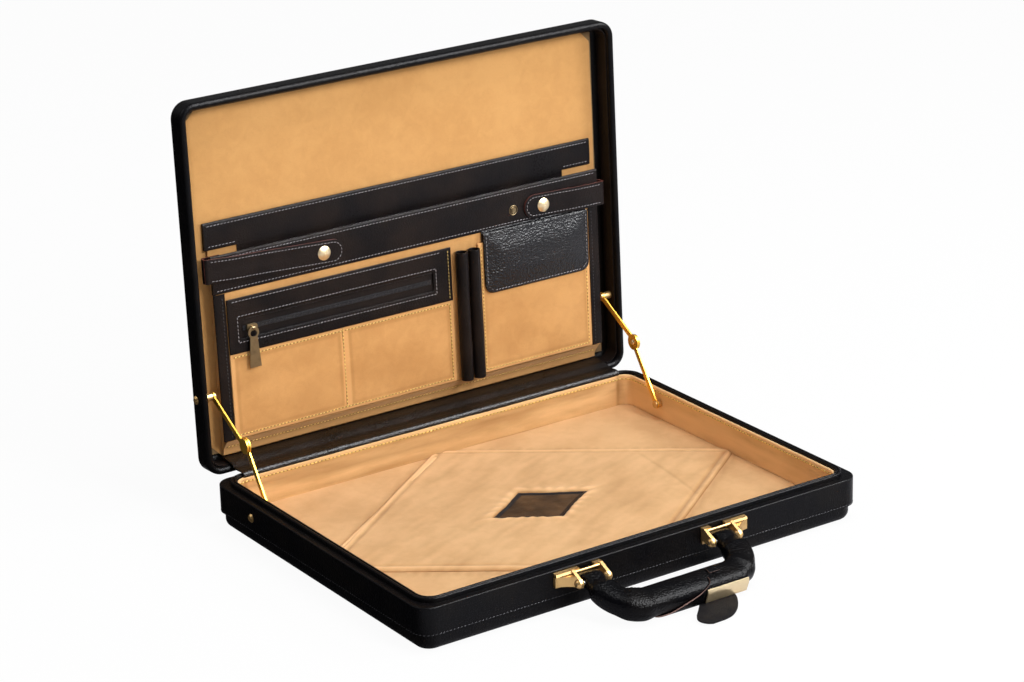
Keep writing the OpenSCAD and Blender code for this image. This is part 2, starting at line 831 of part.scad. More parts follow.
module rivet(reach) {
    translate([case_w / 2 - reach, 0, 0]) rod(rivet_d, 0, reach + 0.2);
    translate([case_w / 2 + 0.1, 0, 0]) rotate([0, 90, 0])
        cylinder(d1 = rivet_d + 4, d2 = rivet_d + 1, h = 1.5);
    translate([case_w / 2 - reach, 0, 0]) rod(rivet_d + 3, -1, 0);
}

module stay_rivets_base() {
    color(pale_brass) both_sides() translate([0, stay_y, stay_z]) {
        rivet(case_w / 2 - lower_x + pivot_gap);
        rod_washer(lower_x + link_t + pivot_gap, lining_half_w + suede_t);
    }
}

module stay_rivets_lid() {
    color(pale_brass) open_lid() both_sides() translate([0, case_d / 2 - stay_up, rim_z + stay_deep]) {
        rivet(case_w / 2 - upper_x + pivot_gap);
        rod_washer(upper_x + link_t + pivot_gap, case_w / 2 - lid_wall - 0.1);
    }
}

// The shoulder that keeps a link off the wall
module rod_washer(x0, x1) {
    rod(rivet_d + 3, x0, x1);
}

// A link in the plane X = x from one pivot to another: y and z of its ends
module link(x, from, to, disc_end, eye_bore) {
    eye_d = link_w + 3;
    run = to - from;
    angle = atan2(run[1], run[0]);
    translate([x, from[0], from[1]]) rotate([90, 0, 90]) rotate(angle) linear_extrude(link_t) difference() {
        union() {
            circle(d = eye_d);
            translate([0, -link_w / 2]) square([norm(run), link_w]);
            translate([norm(run), 0]) circle(d = disc_end);
        }
        circle(d = eye_bore);
    }
    translate([x, from[0], from[1]]) rotate([90, 0, 90]) rotate(angle)
        translate([eye_d / 2 + 1, -rib_w / 2, -rib_h])
            cube([norm(run) - (eye_d + disc_d) / 2 - 2, rib_w, rib_h + 0.1]);
}

module stay_lower() {
    color(brass) link(lower_x, base_pivot, elbow, disc_d, rivet_d + 2 * pivot_gap);
}

module stay_upper() {
    color(brass) link(upper_x, lid_pivot, elbow, disc_d - 1, rivet_d + 2 * pivot_gap);
}

module stay_lower_right() { stay_lower(); }
module stay_lower_left() { mirror([1, 0, 0]) stay_lower(); }
module stay_upper_right() { stay_upper(); }
module stay_upper_left() { mirror([1, 0, 0]) stay_upper(); }

// The rivet head that closes the elbow, on the lower link's face
module elbow_rivet() {
    color(pale_brass) translate([lower_x - 0.1, elbow[0], elbow[1]]) rotate([0, -90, 0])
        cylinder(d1 = 5, d2 = 3.4, h = 1.2);
}

module elbow_rivet_right() { elbow_rivet(); }
module elbow_rivet_left() { mirror([1, 0, 0]) elbow_rivet(); }

// Organiser: everything below is drawn on the lid's face

// A flat panel with its left, right, bottom and top edges and its front and back
module panel(x0, x1, y0, y1, back, t) {
    translate([x0, y0, back]) cube([x1 - x0, y1 - y0, t]);
}

module rear_pocket_sheet() {
    color(suede) on_lid() panel(-pocket_half + sheet_in, pocket_half - sheet_in, strip_foot + 0.5,
                             rear_top - rear_band_h + notch_h + band_lap, rear_n, sheet_t);
}

// A leather band folded over the top edge of a pocket's wall
module pocket_band(top, h, lap, sheet_back) {
    t = band_t;
    color(leather) on_lid() difference() {
        translate([-pocket_half, 0, 0]) rotate([90, 0, 90]) linear_extrude(2 * pocket_half) union() {
            translate([top - h, sheet_back - t]) square([h - t - sheet_t / 2, 2 * t + sheet_t]);
            translate([top - t - sheet_t / 2, sheet_back + sheet_t / 2])
                circle(r = t + sheet_t / 2, $fn = 24);
        }
        panel(-pocket_half + sheet_in - seat, pocket_half - sheet_in + seat, top - h - 1,
              top - h + lap + seat, sheet_back - seat, sheet_t + 2 * seat);
    }
}

module rear_pocket_band() {
    bottom = rear_top - rear_band_h;
    difference() {
        pocket_band(rear_top, rear_band_h, notch_h + band_lap, rear_n);
        on_lid() both_sides() panel(pocket_half - notch_w, pocket_half + 1, bottom - 1, bottom + notch_h,
                                    rear_n - band_t - 1, sheet_t + 2 * band_t + 2);
    }
}

module front_pocket_sheet() {
    color(suede) on_lid() panel(-pocket_half + sheet_in, pocket_half - sheet_in, front_bottom,
                                front_top - front_band_h + band_lap, front_n, sheet_t);
}

module front_pocket_band() {
    pocket_band(front_top, front_band_h, band_lap, front_n);
}

// The sloping strip that carries the front pocket's foot back to the lid
module pocket_base_strip() {
    color(suede) on_lid() translate([-pocket_half + sheet_in, 0, 0]) rotate([90, 0, 90])
        linear_extrude(2 * (pocket_half - sheet_in))
            ribbon([[strip_foot, rear_n + sheet_t + 0.9], [strip_bend, rear_n + sheet_t + 1.8],
                    [front_bottom - 1.2, front_n + sheet_t / 2]], 1);
}

module gusset() {
    back = rear_n + sheet_t + 0.9;
    front = front_n - 0.9;
    step = (front - back) / 4;
    x_in = pocket_half - fold_in;
    x_out = pocket_half - fold_out;
    color(suede) on_lid() translate([0, front_bottom + 1, 0])
        rotate([-90, 0, 0]) mirror([0, 1]) linear_extrude(front_top - front_band_h - front_bottom - 3)
            ribbon([[x_in, back], [x_out, back + step], [x_in + 3, back + 2 * step],
                    [x_out, back + 3 * step], [x_in, front]], fold_t);
}

module gusset_right() { gusset(); }
module gusset_left() { mirror([1, 0, 0]) gusset(); }

module edge_bindings() {
    w = 11;
    y0 = front_bottom;
    y1 = front_top - front_band_h - 0.5;
    color(leather) on_lid() both_sides() difference() {
        panel(pocket_half - w, pocket_half, y0, y1, front_n - 0.7, sheet_t + 1.4 + 0.4);
        panel(0, pocket_half - sheet_in + seat, y0 - 1, y1 + 1, front_n - seat, sheet_t + 2 * seat);
    }
}

module zip_pocket_top() {
    color(leather) on_lid() difference() {
        panel(zip_x0, zip_x1, zip_split, zip_top, face_n + tape_t + seat, trim_t);
        panel(zip_x0 + window_in, zip_x1 - window_out, zip_line - zip_window_h / 2,
              zip_line + zip_window_h / 2, face_n, 9);
    }
}

module zip_pocket_lower() {
    middle = (zip_x0 + zip_x1) / 2;
    color(suede) on_lid() difference() {
        panel(zip_x0, zip_x1, front_bottom + 0.5, zip_split - seat, face_n + seat, trim_t);
        panel(middle - 0.5, middle + 0.5, 0, zip_split + 1, face_n + seat + trim_t - 0.4, 1);
    }
}

// Two tapes and the row of teeth between them
module zipper() {
    color(leather_soft) on_lid() {
        panel(zip_x0 + window_in - tape_lap, zip_x1 - window_out + tape_lap,
              zip_line - zip_window_h / 2 - tape_rim, zip_line + zip_window_h / 2 + tape_rim,
              face_n + seat, tape_t - seat);
        panel(zip_x0 + window_in + 2, zip_x1 - window_out - 2, zip_line - coil_w / 2, zip_line + coil_w / 2,
              face_n + tape_t - 0.2, 0.8);
    }
}

module zip_slider() {
    x = zip_x0 + slider_in;
    color(brass) on_lid() translate([x, zip_line, slider_n]) difference() {
        union() {
            translate([-4.5, 0, 0]) linear_extrude(2) union() {
                translate([0, -3.2]) square([7, 6.4]);
                translate([7, 0]) circle(r = 3.2);
            }
            translate([-1, -1.4, 1.5]) cube([2, 2.8, 2.1]);
            translate([0, 0, lug_n]) rod(2.8, -1, 1);
        }
        translate([0, 0, lug_n]) rod(1.3 + 2 * pivot_gap, -2, 2);
    }
}

// A flat, tapered pull hanging from a ring through the slider
module zip_pull() {
    x = zip_x0 + slider_in;
    t = 1.1;
    color(old_brass) on_lid() translate([x, zip_line, slider_n + lug_n]) {
        rod(1.3, -2.6, 2.6);
        translate([0, 0, -t / 2]) linear_extrude(t) difference() {
            union() {
                polygon([[-3.6, -8], [3.6, -8], [5.6, -pull_len + 2], [5.6, -pull_len],
                         [-5.6, -pull_len], [-5.6, -pull_len + 2]]);
                difference() {
                    translate([0, -4.2]) circle(r = 5.4);
                    translate([0, -5]) circle(r = 3.2);
                }
            }
            translate([-1 - pivot_gap, -3]) square([2 + 2 * pivot_gap, 6]);
        }
    }
}

module pen_loops() {
    color(leather) on_lid() for (i = [0, 1])
        translate([pen_x + i * (pen_d + 1.8), front_bottom + 0.5, face_n + pen_d / 2 + seat])
            rotate([-90, 0, 0]) linear_extrude(pen_len) difference() {
                circle(d = pen_d);
                circle(d = pen_d - 2 * pen_wall);
            }
}

module flap_pocket() {
    side = 1.1;
    color(suede) on_lid() difference() {
        panel(card_x, card_x + card_w, front_bottom + 1, card_top - 8, face_n + seat, card_t);
        panel(card_x + side, card_x + card_w - side, front_bottom + 1 + side, card_top,
              face_n, card_t - side);
    }
}

// The flap hangs from its rolled upper edge
module pocket_flap() {
    r = 9;
    w = card_w - 6;
    color(leather) on_lid() translate([card_x + 5, card_top - flap_h, flap_n]) {
        linear_extrude(flap_t) union() {
            translate([0, r]) square([w, flap_h - r]);
            translate([r, 0]) square([w - 2 * r, 2 * r]);
            for (x = [r, w - r]) translate([x, r]) circle(r);
        }
        translate([0, flap_h, flap_t / 2]) rod(flap_t, 0, w);
    }
}

// Snap straps across the front of the file pockets, each from a tab at the side
function strap_turn(way) = atan2(way[1] - way[2], way[0]);

module on_strap(way, n) {
    on_lid() translate([strap_root_x, way[1], n]) rotate(strap_turn(way)) children();
}

module strap(way) {
    len = way[0];
    on_strap(way, strap_n) {
        linear_extrude(strap_t) difference() {
            union() {
                translate([-len + strap_w / 2, -strap_w / 2]) square([len - strap_w / 2, strap_w]);
                translate([-len + strap_w / 2, 0]) circle(d = strap_w);
            }
            translate([-len + snap_in, 0]) circle(d = stud_d + 1.2);
        }
        rotate(-strap_turn(way)) translate([0, -strap_w / 2 + 0.4, strap_t / 2])
            rotate([-90, 0, 0]) cylinder(d = strap_t - 0.1, h = strap_w - 0.8);
    }
}

module snap_cap(way) {
    on_strap(way, strap_n + strap_t + seat) translate([-way[0] + snap_in, 0, 0]) intersection() {
        translate([0, 0, snap_rise - snap_dome]) sphere(r = snap_dome);
        cylinder(d = snap_d, h = snap_dome);
    }
}

module snap_stud(way, out) {
    on_strap(way, band_face_n + 0.05) translate([-way[0] + snap_in - out, 0, 0]) {
        cylinder(d = stud_d, h = 1.1);
        cylinder(d = stud_d - 1.4, h = 1.5);
    }
}

module strap_right() { color(leather) strap(strap_right_way); }
module snap_cap_right() { color(pale_brass) snap_cap(strap_right_way); }
module strap_left() { color(leather) mirror([1, 0, 0]) strap(strap_left_way); }
module snap_cap_left() { color(pale_brass) mirror([1, 0, 0]) snap_cap(strap_left_way); }

module strap_tab(way) {
    back = -lid_inner + 0.3;
    on_lid() panel(strap_root_x - strap_t / 2, strap_root_x + strap_t / 2, way[1] - strap_w / 2,
                   way[1] + strap_w / 2, back, strap_n - soft_gap - back);
}

module strap_tabs() {
    color(leather) {
        strap_tab(strap_right_way);
        mirror([1, 0, 0]) strap_tab(strap_left_way);
    }
}

module snap_studs() {
    color(brass) {
        snap_stud(strap_right_way, 0);
        snap_stud(strap_right_way, stud_gap);
        mirror([1, 0, 0]) snap_stud(strap_left_way, 0);
    }
}

base_frame();
base_lip();
base_tray();
base_wall_lining();
floor_pad();
floor_lining();
floor_centre_panel();
floor_patch();
hinge_leaves_base();
hinge_screws_base();
hinge_pins();
hinge_cover();
handle_brackets();
bracket_screws();
handle_pins();
latch_slide_left();
latch_slide_right();
stay_rivets_base();
handle_grip();
handle_core();
tag_plate();
tag_strap();
tag_flap();
lid_frame();
lid_bead();
lid_tray();
lid_padding();
lid_wall_lining();
lid_back_panel();
hinge_leaves_lid();
hinge_screws_lid();
stay_rivets_lid();
stay_lower_left();
stay_lower_right();
stay_upper_left();
stay_upper_right();
elbow_rivet_left();
elbow_rivet_right();
rear_pocket_sheet();
rear_pocket_band();
front_pocket_sheet();
front_pocket_band();
pocket_base_strip();
gusset_left();
gusset_right();
edge_bindings();
zip_pocket_top();
zip_pocket_lower();
zipper();
zip_slider();
zip_pull();
pen_loops();
flap_pocket();
pocket_flap();
strap_tabs();
snap_studs();
strap_left();
snap_cap_left();
strap_right();
snap_cap_right();
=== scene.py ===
from functools import partialmethod
from math import atan2, ceil, copysign, cos, exp, hypot, pi, radians, sin, sqrt

import bmesh
import bpy
from mathutils import Matrix, Vector, noise


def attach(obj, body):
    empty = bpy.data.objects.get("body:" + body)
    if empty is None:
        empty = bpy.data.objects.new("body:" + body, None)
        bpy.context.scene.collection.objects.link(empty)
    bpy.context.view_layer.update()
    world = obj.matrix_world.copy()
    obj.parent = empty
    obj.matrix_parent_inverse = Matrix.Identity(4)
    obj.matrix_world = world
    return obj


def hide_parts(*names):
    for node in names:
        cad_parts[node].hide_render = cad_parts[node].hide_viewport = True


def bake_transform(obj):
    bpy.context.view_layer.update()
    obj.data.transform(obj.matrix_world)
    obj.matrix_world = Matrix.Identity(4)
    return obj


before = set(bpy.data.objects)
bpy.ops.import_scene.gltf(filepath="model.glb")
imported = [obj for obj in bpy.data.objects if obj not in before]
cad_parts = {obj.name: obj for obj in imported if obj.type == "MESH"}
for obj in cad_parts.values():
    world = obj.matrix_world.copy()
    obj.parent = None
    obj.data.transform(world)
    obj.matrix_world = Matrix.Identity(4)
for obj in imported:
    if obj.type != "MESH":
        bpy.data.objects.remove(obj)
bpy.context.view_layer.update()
MM = 0.001


# The camera stands in front of the case, well to the left and a little above it, with a long lens.
# Its place, turn and slight tilt were found from the corners of the case in the photograph.
camera_data = bpy.data.cameras.new("camera")
camera_data.lens = 111.03
camera_data.sensor_width = 36
camera_data.clip_end = 50
camera_place = (-1.41881, -2.08507, 1.09876)
camera = bpy.data.objects.new("camera", camera_data)
bpy.context.scene.collection.objects.link(camera)
camera_turn, camera_rise, camera_tilt = (radians(a) for a in (-33.851, 20.267, -1.537))
back = Vector((sin(camera_turn) * cos(camera_rise), -cos(camera_turn) * cos(camera_rise),
               sin(camera_rise)))
level = (-back).cross(Vector((0, 0, 1))).normalized()
upward = level.cross(-back)
right = level * cos(camera_tilt) + upward * sin(camera_tilt)
top = -level * sin(camera_tilt) + upward * cos(camera_tilt)
camera.matrix_world = Matrix.Translation(camera_place) @ Matrix((right, top, back)).transposed().to_4x4()
bpy.context.scene.camera = camera
bpy.context.scene.view_settings.view_transform = "Standard"


# The studio: a white table that runs away behind the case and a white room, lit by soft lamps.
# Camera and gloss see them whiter than they light it, and the gloss sees the table dark to its left.
class Wire:
    """A socket of a finish's nodes that sums and products can be written with."""

    def __init__(self, finish, socket):
        self.finish, self.socket = finish, socket

    def maths(self, operation, other, turned=False):
        return self.finish.node("Math", {"operation": operation}, [other, self] if turned else [self, other])

    __add__, __radd__ = partialmethod(maths, "ADD"), partialmethod(maths, "ADD", turned=True)
    __sub__, __rsub__ = partialmethod(maths, "SUBTRACT"), partialmethod(maths, "SUBTRACT", turned=True)
    __mul__, __rmul__ = partialmethod(maths, "MULTIPLY"), partialmethod(maths, "MULTIPLY", turned=True)


class Finish:
    """The nodes of one material or of the world, laid one by one."""

    def __init__(self, owner):
        self.owner = owner
        owner.use_nodes = True
        self.tree = owner.node_tree
        self.tree.nodes.clear()

    def node(self, kind, settings=None, inputs=None, out=0):
        made = self.tree.nodes.new("ShaderNode" + kind)
        for name, value in (settings or {}).items():
            setattr(made, name, value)
        pairs = enumerate(inputs) if isinstance(inputs, list) else (inputs or {}).items()
        for name, value in pairs:
            if isinstance(value, Wire):
                self.tree.links.new(value.socket, made.inputs[name])
            elif value is not None:
                made.inputs[name].default_value = value
        return Wire(self, made.outputs[out]) if made.outputs else None

    def cloud(self, place, scale, detail=2.0, **more):
        """Noise between 0 and 1 over a place."""
        return self.node("TexNoise", None, {"Vector": place, "Scale": scale, "Detail": detail, **more})

    def relief(self, height, depth, strength=1.0):
        """The bumps of a skin, depth in metres."""
        return self.node("Bump", None, {"Strength": strength, "Distance": depth, "Height": height})

    def coat(self, inputs):
        """Ends a material with its shader."""
        self.node("OutputMaterial", None, {"Surface": self.node("BsdfPrincipled", None, inputs)})
        return self.owner

    def mix(self, factor, a, b):
        """A colour between a and b."""
        return self.node("Mix", {"data_type": "RGBA"}, {0: factor, 6: a, 7: b}, 2)

    def blur(self, low, high, value):
        """0 below low, 1 above high and soft between them."""
        return self.node("MapRange", {"interpolation_type": "SMOOTHSTEP"}, {0: value, 1: low, 2: high})


def sights(finish):
    """What the camera sees straight or through glass, and what shows in the gloss of other pieces."""
    path = finish.tree.nodes.new("ShaderNodeLightPath")
    seen, gloss, clear = (Wire(finish, path.outputs["Is %s Ray" % name])
                          for name in ("Camera", "Glossy", "Transmission"))
    return seen.maths("MAXIMUM", clear), gloss


white = (1, 1, 1, 1)
world = bpy.data.worlds.new("white_room")
bpy.context.scene.world = world
room = Finish(world)
room_seen, room_gloss = sights(room)
room_light = room.node("Background", None, [(0.98, 0.98, 1.0, 1), 0.36])
room_way = room.node("TexCoord", None, None, 0)
room_side, room_rear, room_up = (room.node("SeparateXYZ", None, [room_way], axis) for axis in (0, 1, 2))
room_high = room.blur(0.22, 0.46, room_up)
room_glow = (0.05 + 0.37 * room.blur(-0.75, 0.3, room_side)) * (1.0 - 0.6 * room.blur(0.0, 0.6, room_rear))
for window_way, rim, middle, glow in (
        ((0.52, -0.70, 0.49), 0.86, 0.985, 12.0),
        ((0.50, -0.34, 0.80), 0.945, 0.995, 20.0),
        ((-0.55, 0.45, 0.70), 0.88, 0.98, 1.8)):
    window_way = Vector(window_way).normalized()
    facing = room.node("VectorMath", {"operation": "DOT_PRODUCT"}, [room_way, window_way], 1)
    room_glow = room.blur(rim, middle, facing) * glow * room_high + room_glow
room_shine = room.node("Background", None, [(0.97, 0.98, 1.0, 1), room_glow])
room_sight = room.node("Background", None, [white, 1.0])
room_mix = room.node("MixShader", None, [room_gloss, room_light, room_shine])
room_mix = room.node("MixShader", None, [room_seen, room_mix, room_sight])
room.node("OutputWorld", None, {"Surface": room_mix})


def lone(add, **settings):
    """Adds a mesh with nothing else selected."""
    bpy.ops.object.select_all(action="DESELECT")
    add(**settings)
    return bpy.context.object


table = lone(bpy.ops.mesh.primitive_plane_add, size=24, location=(0, 0, -0.0003))
table.name = "table"
table_finish = Finish(bpy.data.materials.new("white_table"))
table_lit = table_finish.node("BsdfDiffuse", None, {"Color": (0.9, 0.9, 0.9, 1)})
table_sight = table_finish.node("Emission", None, {"Color": white, "Strength": 1.0})
table_spot = table_finish.node("TexCoord", None, None, 3)
table_x, table_y = (table_finish.node("SeparateXYZ", None, [table_spot], axis) for axis in (0, 1))
table_right = table_finish.blur(-0.235, -0.2, table_x)
table_front = 1.0 - table_finish.blur(-0.21, -0.165, table_y)
table_shade = table_finish.mix(table_right.maths("MAXIMUM", table_front), (0.01, 0.01, 0.01, 1),
                               (0.75, 0.75, 0.80, 1))
table_dim = table_finish.node("BsdfDiffuse", None, {"Color": table_shade})
table_seen, table_gloss = sights(table_finish)
table_mix = table_finish.node("MixShader", None, [table_gloss, table_lit, table_dim])
table_mix = table_finish.node("MixShader", None, [table_seen * 0.95, table_mix, table_sight])
table_finish.node("OutputMaterial", None, {"Surface": table_mix})
table.data.materials.append(table_finish.owner)

for name, place, size, power, aim in (
        ("soft_box_front", (0.55, -2.2, 1.7), 0.7, 36, (0, 0.05, 0.12)),
        ("soft_box_right", (1.7, -1.1, 1.3), 0.6, 16, (0, 0, 0.1)),
        ("soft_box_top", (0.1, -0.35, 2.1), 0.7, 15, (0, 0, 0))):
    lamp_data = bpy.data.lights.new(name, "AREA")
    lamp_data.size = size
    lamp_data.energy = power
    lamp = bpy.data.objects.new(name, lamp_data)
    bpy.context.scene.collection.objects.link(lamp)
    lamp.location = place
    lamp.rotation_euler = (Vector(aim) - Vector(place)).to_track_quat("-Z", "Y").to_euler()


# Base shell: a board frame and a moulded tray covered in black pebbled leather, its welt sewn to
# the frame. The leather is glossy, with a fine grain, faint creases and a dull bloom.
def shade(colour, by, lift=0.0):
    """A colour made lighter or darker."""
    return tuple(min(1.0, c * by + lift) for c in colour[:3]) + (1,)


def new_finish(name):
    """An empty material and the place on the piece that its patterns read."""
    finish = Finish(bpy.data.materials.new(name))
    return finish, finish.node("TexCoord", None, None, 3)


def grain_finish(name, colour, warm, rough, pebble, depth, shine=0.25, crease=1.0):
    """Leather: pebble is the size of its grain and depth its relief, in mm."""
    finish, place = new_finish(name)
    pebble *= MM
    cells = finish.node("TexVoronoi", None, {"Vector": place, "Scale": 1 / pebble})
    fine = finish.cloud(place, 0.6 / pebble, 6.0, Roughness=0.65)
    broad = finish.cloud(place, 24.0, 4.0)
    stretched = finish.node("Mapping", None, {"Vector": place, "Scale": (1.0, 1.0, 0.22)})
    folds = finish.cloud(stretched, 420.0, 3.0, Distortion=1.2)
    height = 0.6 * cells + 0.5 * fine + 0.5 * crease * folds
    bump = finish.relief(height, depth * MM)
    tone = finish.mix(finish.blur(0.35, 0.7, broad), colour, warm)
    worn = finish.mix(finish.blur(0.62, 0.86, fine) * 0.35, tone, shade(warm, 2.5, 0.006))
    roughness = rough + 0.16 * (fine - 0.5) + 0.14 * (broad - 0.5)
    return finish.coat({"Base Color": worn, "Roughness": roughness, "Normal": bump,
                        "Specular IOR Level": shine})


def dress(material, *nodes):
    """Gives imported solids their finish."""
    for node in nodes:
        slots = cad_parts[node].data.materials
        if len(slots) == 0:
            slots.append(material)
        for i in range(len(slots)):
            slots[i] = material


case_leather = grain_finish("case_leather", (0.0026, 0.0025, 0.0033, 1), (0.0050, 0.0042, 0.0040, 1), 0.32,
                            1.3, 0.34, 0.10)
dress(case_leather, "base_frame", "base_lip", "base_tray", "lid_frame", "lid_bead", "lid_tray")


def alone(piece):
    bpy.ops.object.select_all(action="DESELECT")
    piece.select_set(True)
    bpy.context.view_layer.objects.active = piece


def hand_over(piece, material, body, replaced=(), angle=60):
    """Gives a finished piece its finish and puts it on its body."""
    piece.data.name = piece.name
    if material:
        piece.data.materials.clear()
        piece.data.materials.append(material)
    alone(piece)
    bpy.ops.object.transform_apply(location=True, rotation=True, scale=True)
    bpy.ops.object.shade_smooth_by_angle(angle=radians(angle))
    if body:
        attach(piece, body)
    if replaced:
        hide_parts(*replaced)
    return piece


def stitch_shape(long, thick):
    """One stitch lying along X on the plane Z = 0."""
    stitch = lone(bpy.ops.mesh.primitive_uv_sphere_add, segments=6, ring_count=4, radius=1)
    bpy.ops.object.mode_set(mode="EDIT")
    bpy.ops.mesh.select_all(action="SELECT")
    bpy.ops.transform.rotate(value=pi / 2, orient_axis="Y", center_override=(0, 0, 0))
    bpy.ops.transform.resize(value=(long / 2, thick, thick * 0.7), center_override=(0, 0, 0))
    bpy.ops.object.mode_set(mode="OBJECT")
    corners = [v.co.copy() for v in stitch.data.vertices]
    faces = [tuple(f.vertices) for f in stitch.data.polygons]
    bpy.data.objects.remove(stitch)
    return corners, faces


def thread_finish(name, colour, rough=0.6):
    finish, place = new_finish(name)
    twist = finish.node("TexWave", {"bands_direction": "DIAGONAL"}, {"Vector": place, "Scale": 900.0})
    patches = finish.cloud(place, 160.0)
    tone = finish.mix(finish.blur(0.3, 0.75, patches), shade(colour, 0.72), colour)
    bump = finish.relief(twist, 0.1 * MM, 0.5)
    return finish.coat({"Base Color": tone, "Roughness": rough, "Normal": bump})


def sew(name, lines, out, material, body, pitch, long, thick, slant=8):
    """Stitches along lines of points, their sizes in mm; out is the way they face, or gives it from a
    stitch's point and direction."""
    corners, faces = stitch_shape(long * MM, thick * MM)
    points, polygons = [], []
    for line in lines:
        spans = [(b - a).length for a, b in zip(line, line[1:])]
        total = sum(spans)
        count = max(1, round(total / (pitch * MM)))
        for i in range(count):
            run = (i + 0.5) * total / count
            for a, b, span in zip(line, line[1:], spans):
                if run <= span:
                    break
                run -= span
            along = (b - a).normalized()
            middle = a + along * min(run, span)
            face = out(middle, along) if callable(out) else out
            across = face.cross(along).normalized()
            tilt = radians(slant)
            along, across = (along * cos(tilt) + across * sin(tilt),
                             across * cos(tilt) - along * sin(tilt))
            turn = Matrix((along, across, face)).transposed()
            first = len(points)
            points += [middle + turn @ c for c in corners]
            polygons += [tuple(first + k for k in f) for f in faces]
    mesh = bpy.data.meshes.new(name)
    mesh.from_pydata(points, [], polygons)
    row = bpy.data.objects.new(name, mesh)
    bpy.context.scene.collection.objects.link(row)
    return hand_over(row, material, body, angle=35)


def round_path(half_w, half_d, r, z, steps=8):
    """Closed line of points round a rounded rectangle given in mm, anticlockwise from above."""
    half_w, half_d, r, z = half_w * MM, half_d * MM, r * MM, z * MM
    path = []
    for cx, cy, turn in ((half_w - r, half_d - r, 0), (r - half_w, half_d - r, 90),
                         (r - half_w, r - half_d, 180), (half_w - r, r - half_d, 270)):
        for i in range(steps + 1):
            a = radians(turn + 90 * i / steps)
            path.append(Vector((cx + r * cos(a), cy + r * sin(a), z)))
    return path + [path[0].copy()]


def outwards(point, along):
    return along.cross(Vector((0, 0, 1))).normalized()


black_thread = thread_finish("black_thread", (0.04, 0.039, 0.045, 1), 0.4)
sew("band_stitches", [round_path(225.1, 167.1, 15.1, 16.1)], outwards, black_thread, "base",
    3.4, 2.4, 0.3)


# Wall lining of the base: tan suede glued to board, with its upper edge rolled over and topstitched.
# It is seamed in the corners. Its colour is lighter on the turned edge and darker in a band below it, with
# painted light on the right wall.
def suede_finish(name, colour, deep, streak=(1.0, 1.0, 1.0), mottle=0.5):
    finish, place = new_finish(name)
    drawn = finish.node("Mapping", None, {"Vector": place, "Scale": streak})
    broad = finish.cloud(drawn, 17.0, 5.0, Roughness=0.62)
    nap = finish.cloud(drawn, 95.0, 6.0, Distortion=0.6)
    fibre = finish.cloud(place, 1700.0, 3.0)
    tone = finish.mix(finish.blur(0.34, 0.68, 0.62 * broad + 0.38 * nap) * mottle, colour, deep)
    specks_and_light = finish.mix(finish.blur(0.5, 0.8, fibre) * 0.3, tone, shade(deep, 0.62))
    # Painted light and shade: a value stored at each corner makes the suede lighter above 0 and darker below
    # 0.
    light_and_nap = finish.node("Attribute", {"attribute_name": "light_and_nap"}, None, 2)
    specks_and_light = finish.mix(light_and_nap, specks_and_light, shade(colour, 1.22, 0.03))
    dark = tuple(c * k for c, k in zip(deep, (0.60, 0.50, 0.38))) + (1,)
    specks_and_light = finish.mix(0.0 - light_and_nap, specks_and_light, dark)
    bump = finish.relief(fibre + 0.7 * nap, 0.25 * MM, 0.55)
    return finish.coat({"Base Color": specks_and_light, "Roughness": 0.95, "Normal": bump, "Sheen Weight": 0.25,
                        "Sheen Roughness": 0.5, "Sheen Tint": (1.0, 0.86, 0.66, 1),
                        "Specular IOR Level": 0.25})


wall_suede = suede_finish("wall_suede", (0.80, 0.51, 0.235, 1), (0.62, 0.36, 0.145, 1), (0.35, 0.35, 2.2),
                          0.95)
gold_thread = thread_finish("gold_thread", (1.0, 0.70, 0.20, 1))
# A dark brown strip laid under gold stitches: painted shade of their groove in the suede.
painted_groove_shade = thread_finish("painted_groove_shade", (0.36, 0.17, 0.05, 1), 0.9)


def soft(x):
    """A smooth step from 0 to 1."""
    x = min(1.0, max(0.0, x))
    return x * x * (3 - 2 * x)


def hump(x, wide):
    """A smooth hump, 1 at x = 0."""
    return exp(-(x / wide) ** 2)


def wander(x, y, z, scale=1.0):
    """Smooth noise round 0."""
    return noise.noise(Vector((x, y, z)) * scale)


def paint_light_and_nap(piece, light_and_nap_at):
    """Writes painted light and shade, with the nap's own tones, at each corner of a piece: 1 light, 0 even,
    -1 dark.
    """
    light_and_nap = piece.data.attributes.new("light_and_nap", "FLOAT", "POINT")
    for value, v in zip(light_and_nap.data, piece.data.vertices):
        value.value = light_and_nap_at(v.co / MM)
    return piece


def skin(name, across, along, place):
    """A grid of faces whose corners go where place(u, v) says, u and v from 0 to 1."""
    piece = lone(bpy.ops.mesh.primitive_grid_add, x_subdivisions=across, y_subdivisions=along, size=1)
    piece.name = name
    for v in piece.data.vertices:
        v.co = place(min(1, max(0, v.co.x + 0.5)), min(1, max(0, v.co.y + 0.5)))
    return piece


def weld(piece):
    """Merges the corners that meet and turns all faces outwards."""
    alone(piece)
    bpy.ops.object.mode_set(mode="EDIT")
    bpy.ops.mesh.select_all(action="SELECT")
    bpy.ops.mesh.remove_doubles(threshold=0.02 * MM)
    bpy.ops.mesh.normals_make_consistent(inside=False)
    bpy.ops.object.mode_set(mode="OBJECT")


def modify(piece, kind, **settings):
    alone(piece)
    made = piece.modifiers.new(kind.lower(), kind)
    for name, value in settings.items():
        setattr(made, name, value)
    bpy.ops.object.modifier_apply(modifier=made.name)


def thicken(piece, thick, offset=0, rim=0):
    """Gives a skin its thickness in mm: to both sides, or inwards at offset -1."""
    modify(piece, "SOLIDIFY", thickness=thick * MM, offset=offset, material_offset_rim=rim)


def along_path(path, f):
    """Point and direction at fraction f of a line of points."""
    spans = [(b - a).length for a, b in zip(path, path[1:])]
    run = f * sum(spans)
    for a, b, span in zip(path, path[1:], spans):
        if run <= span or b is path[-1]:
            way = (b - a).normalized()
            return a + way * min(run, span), way
        run -= span


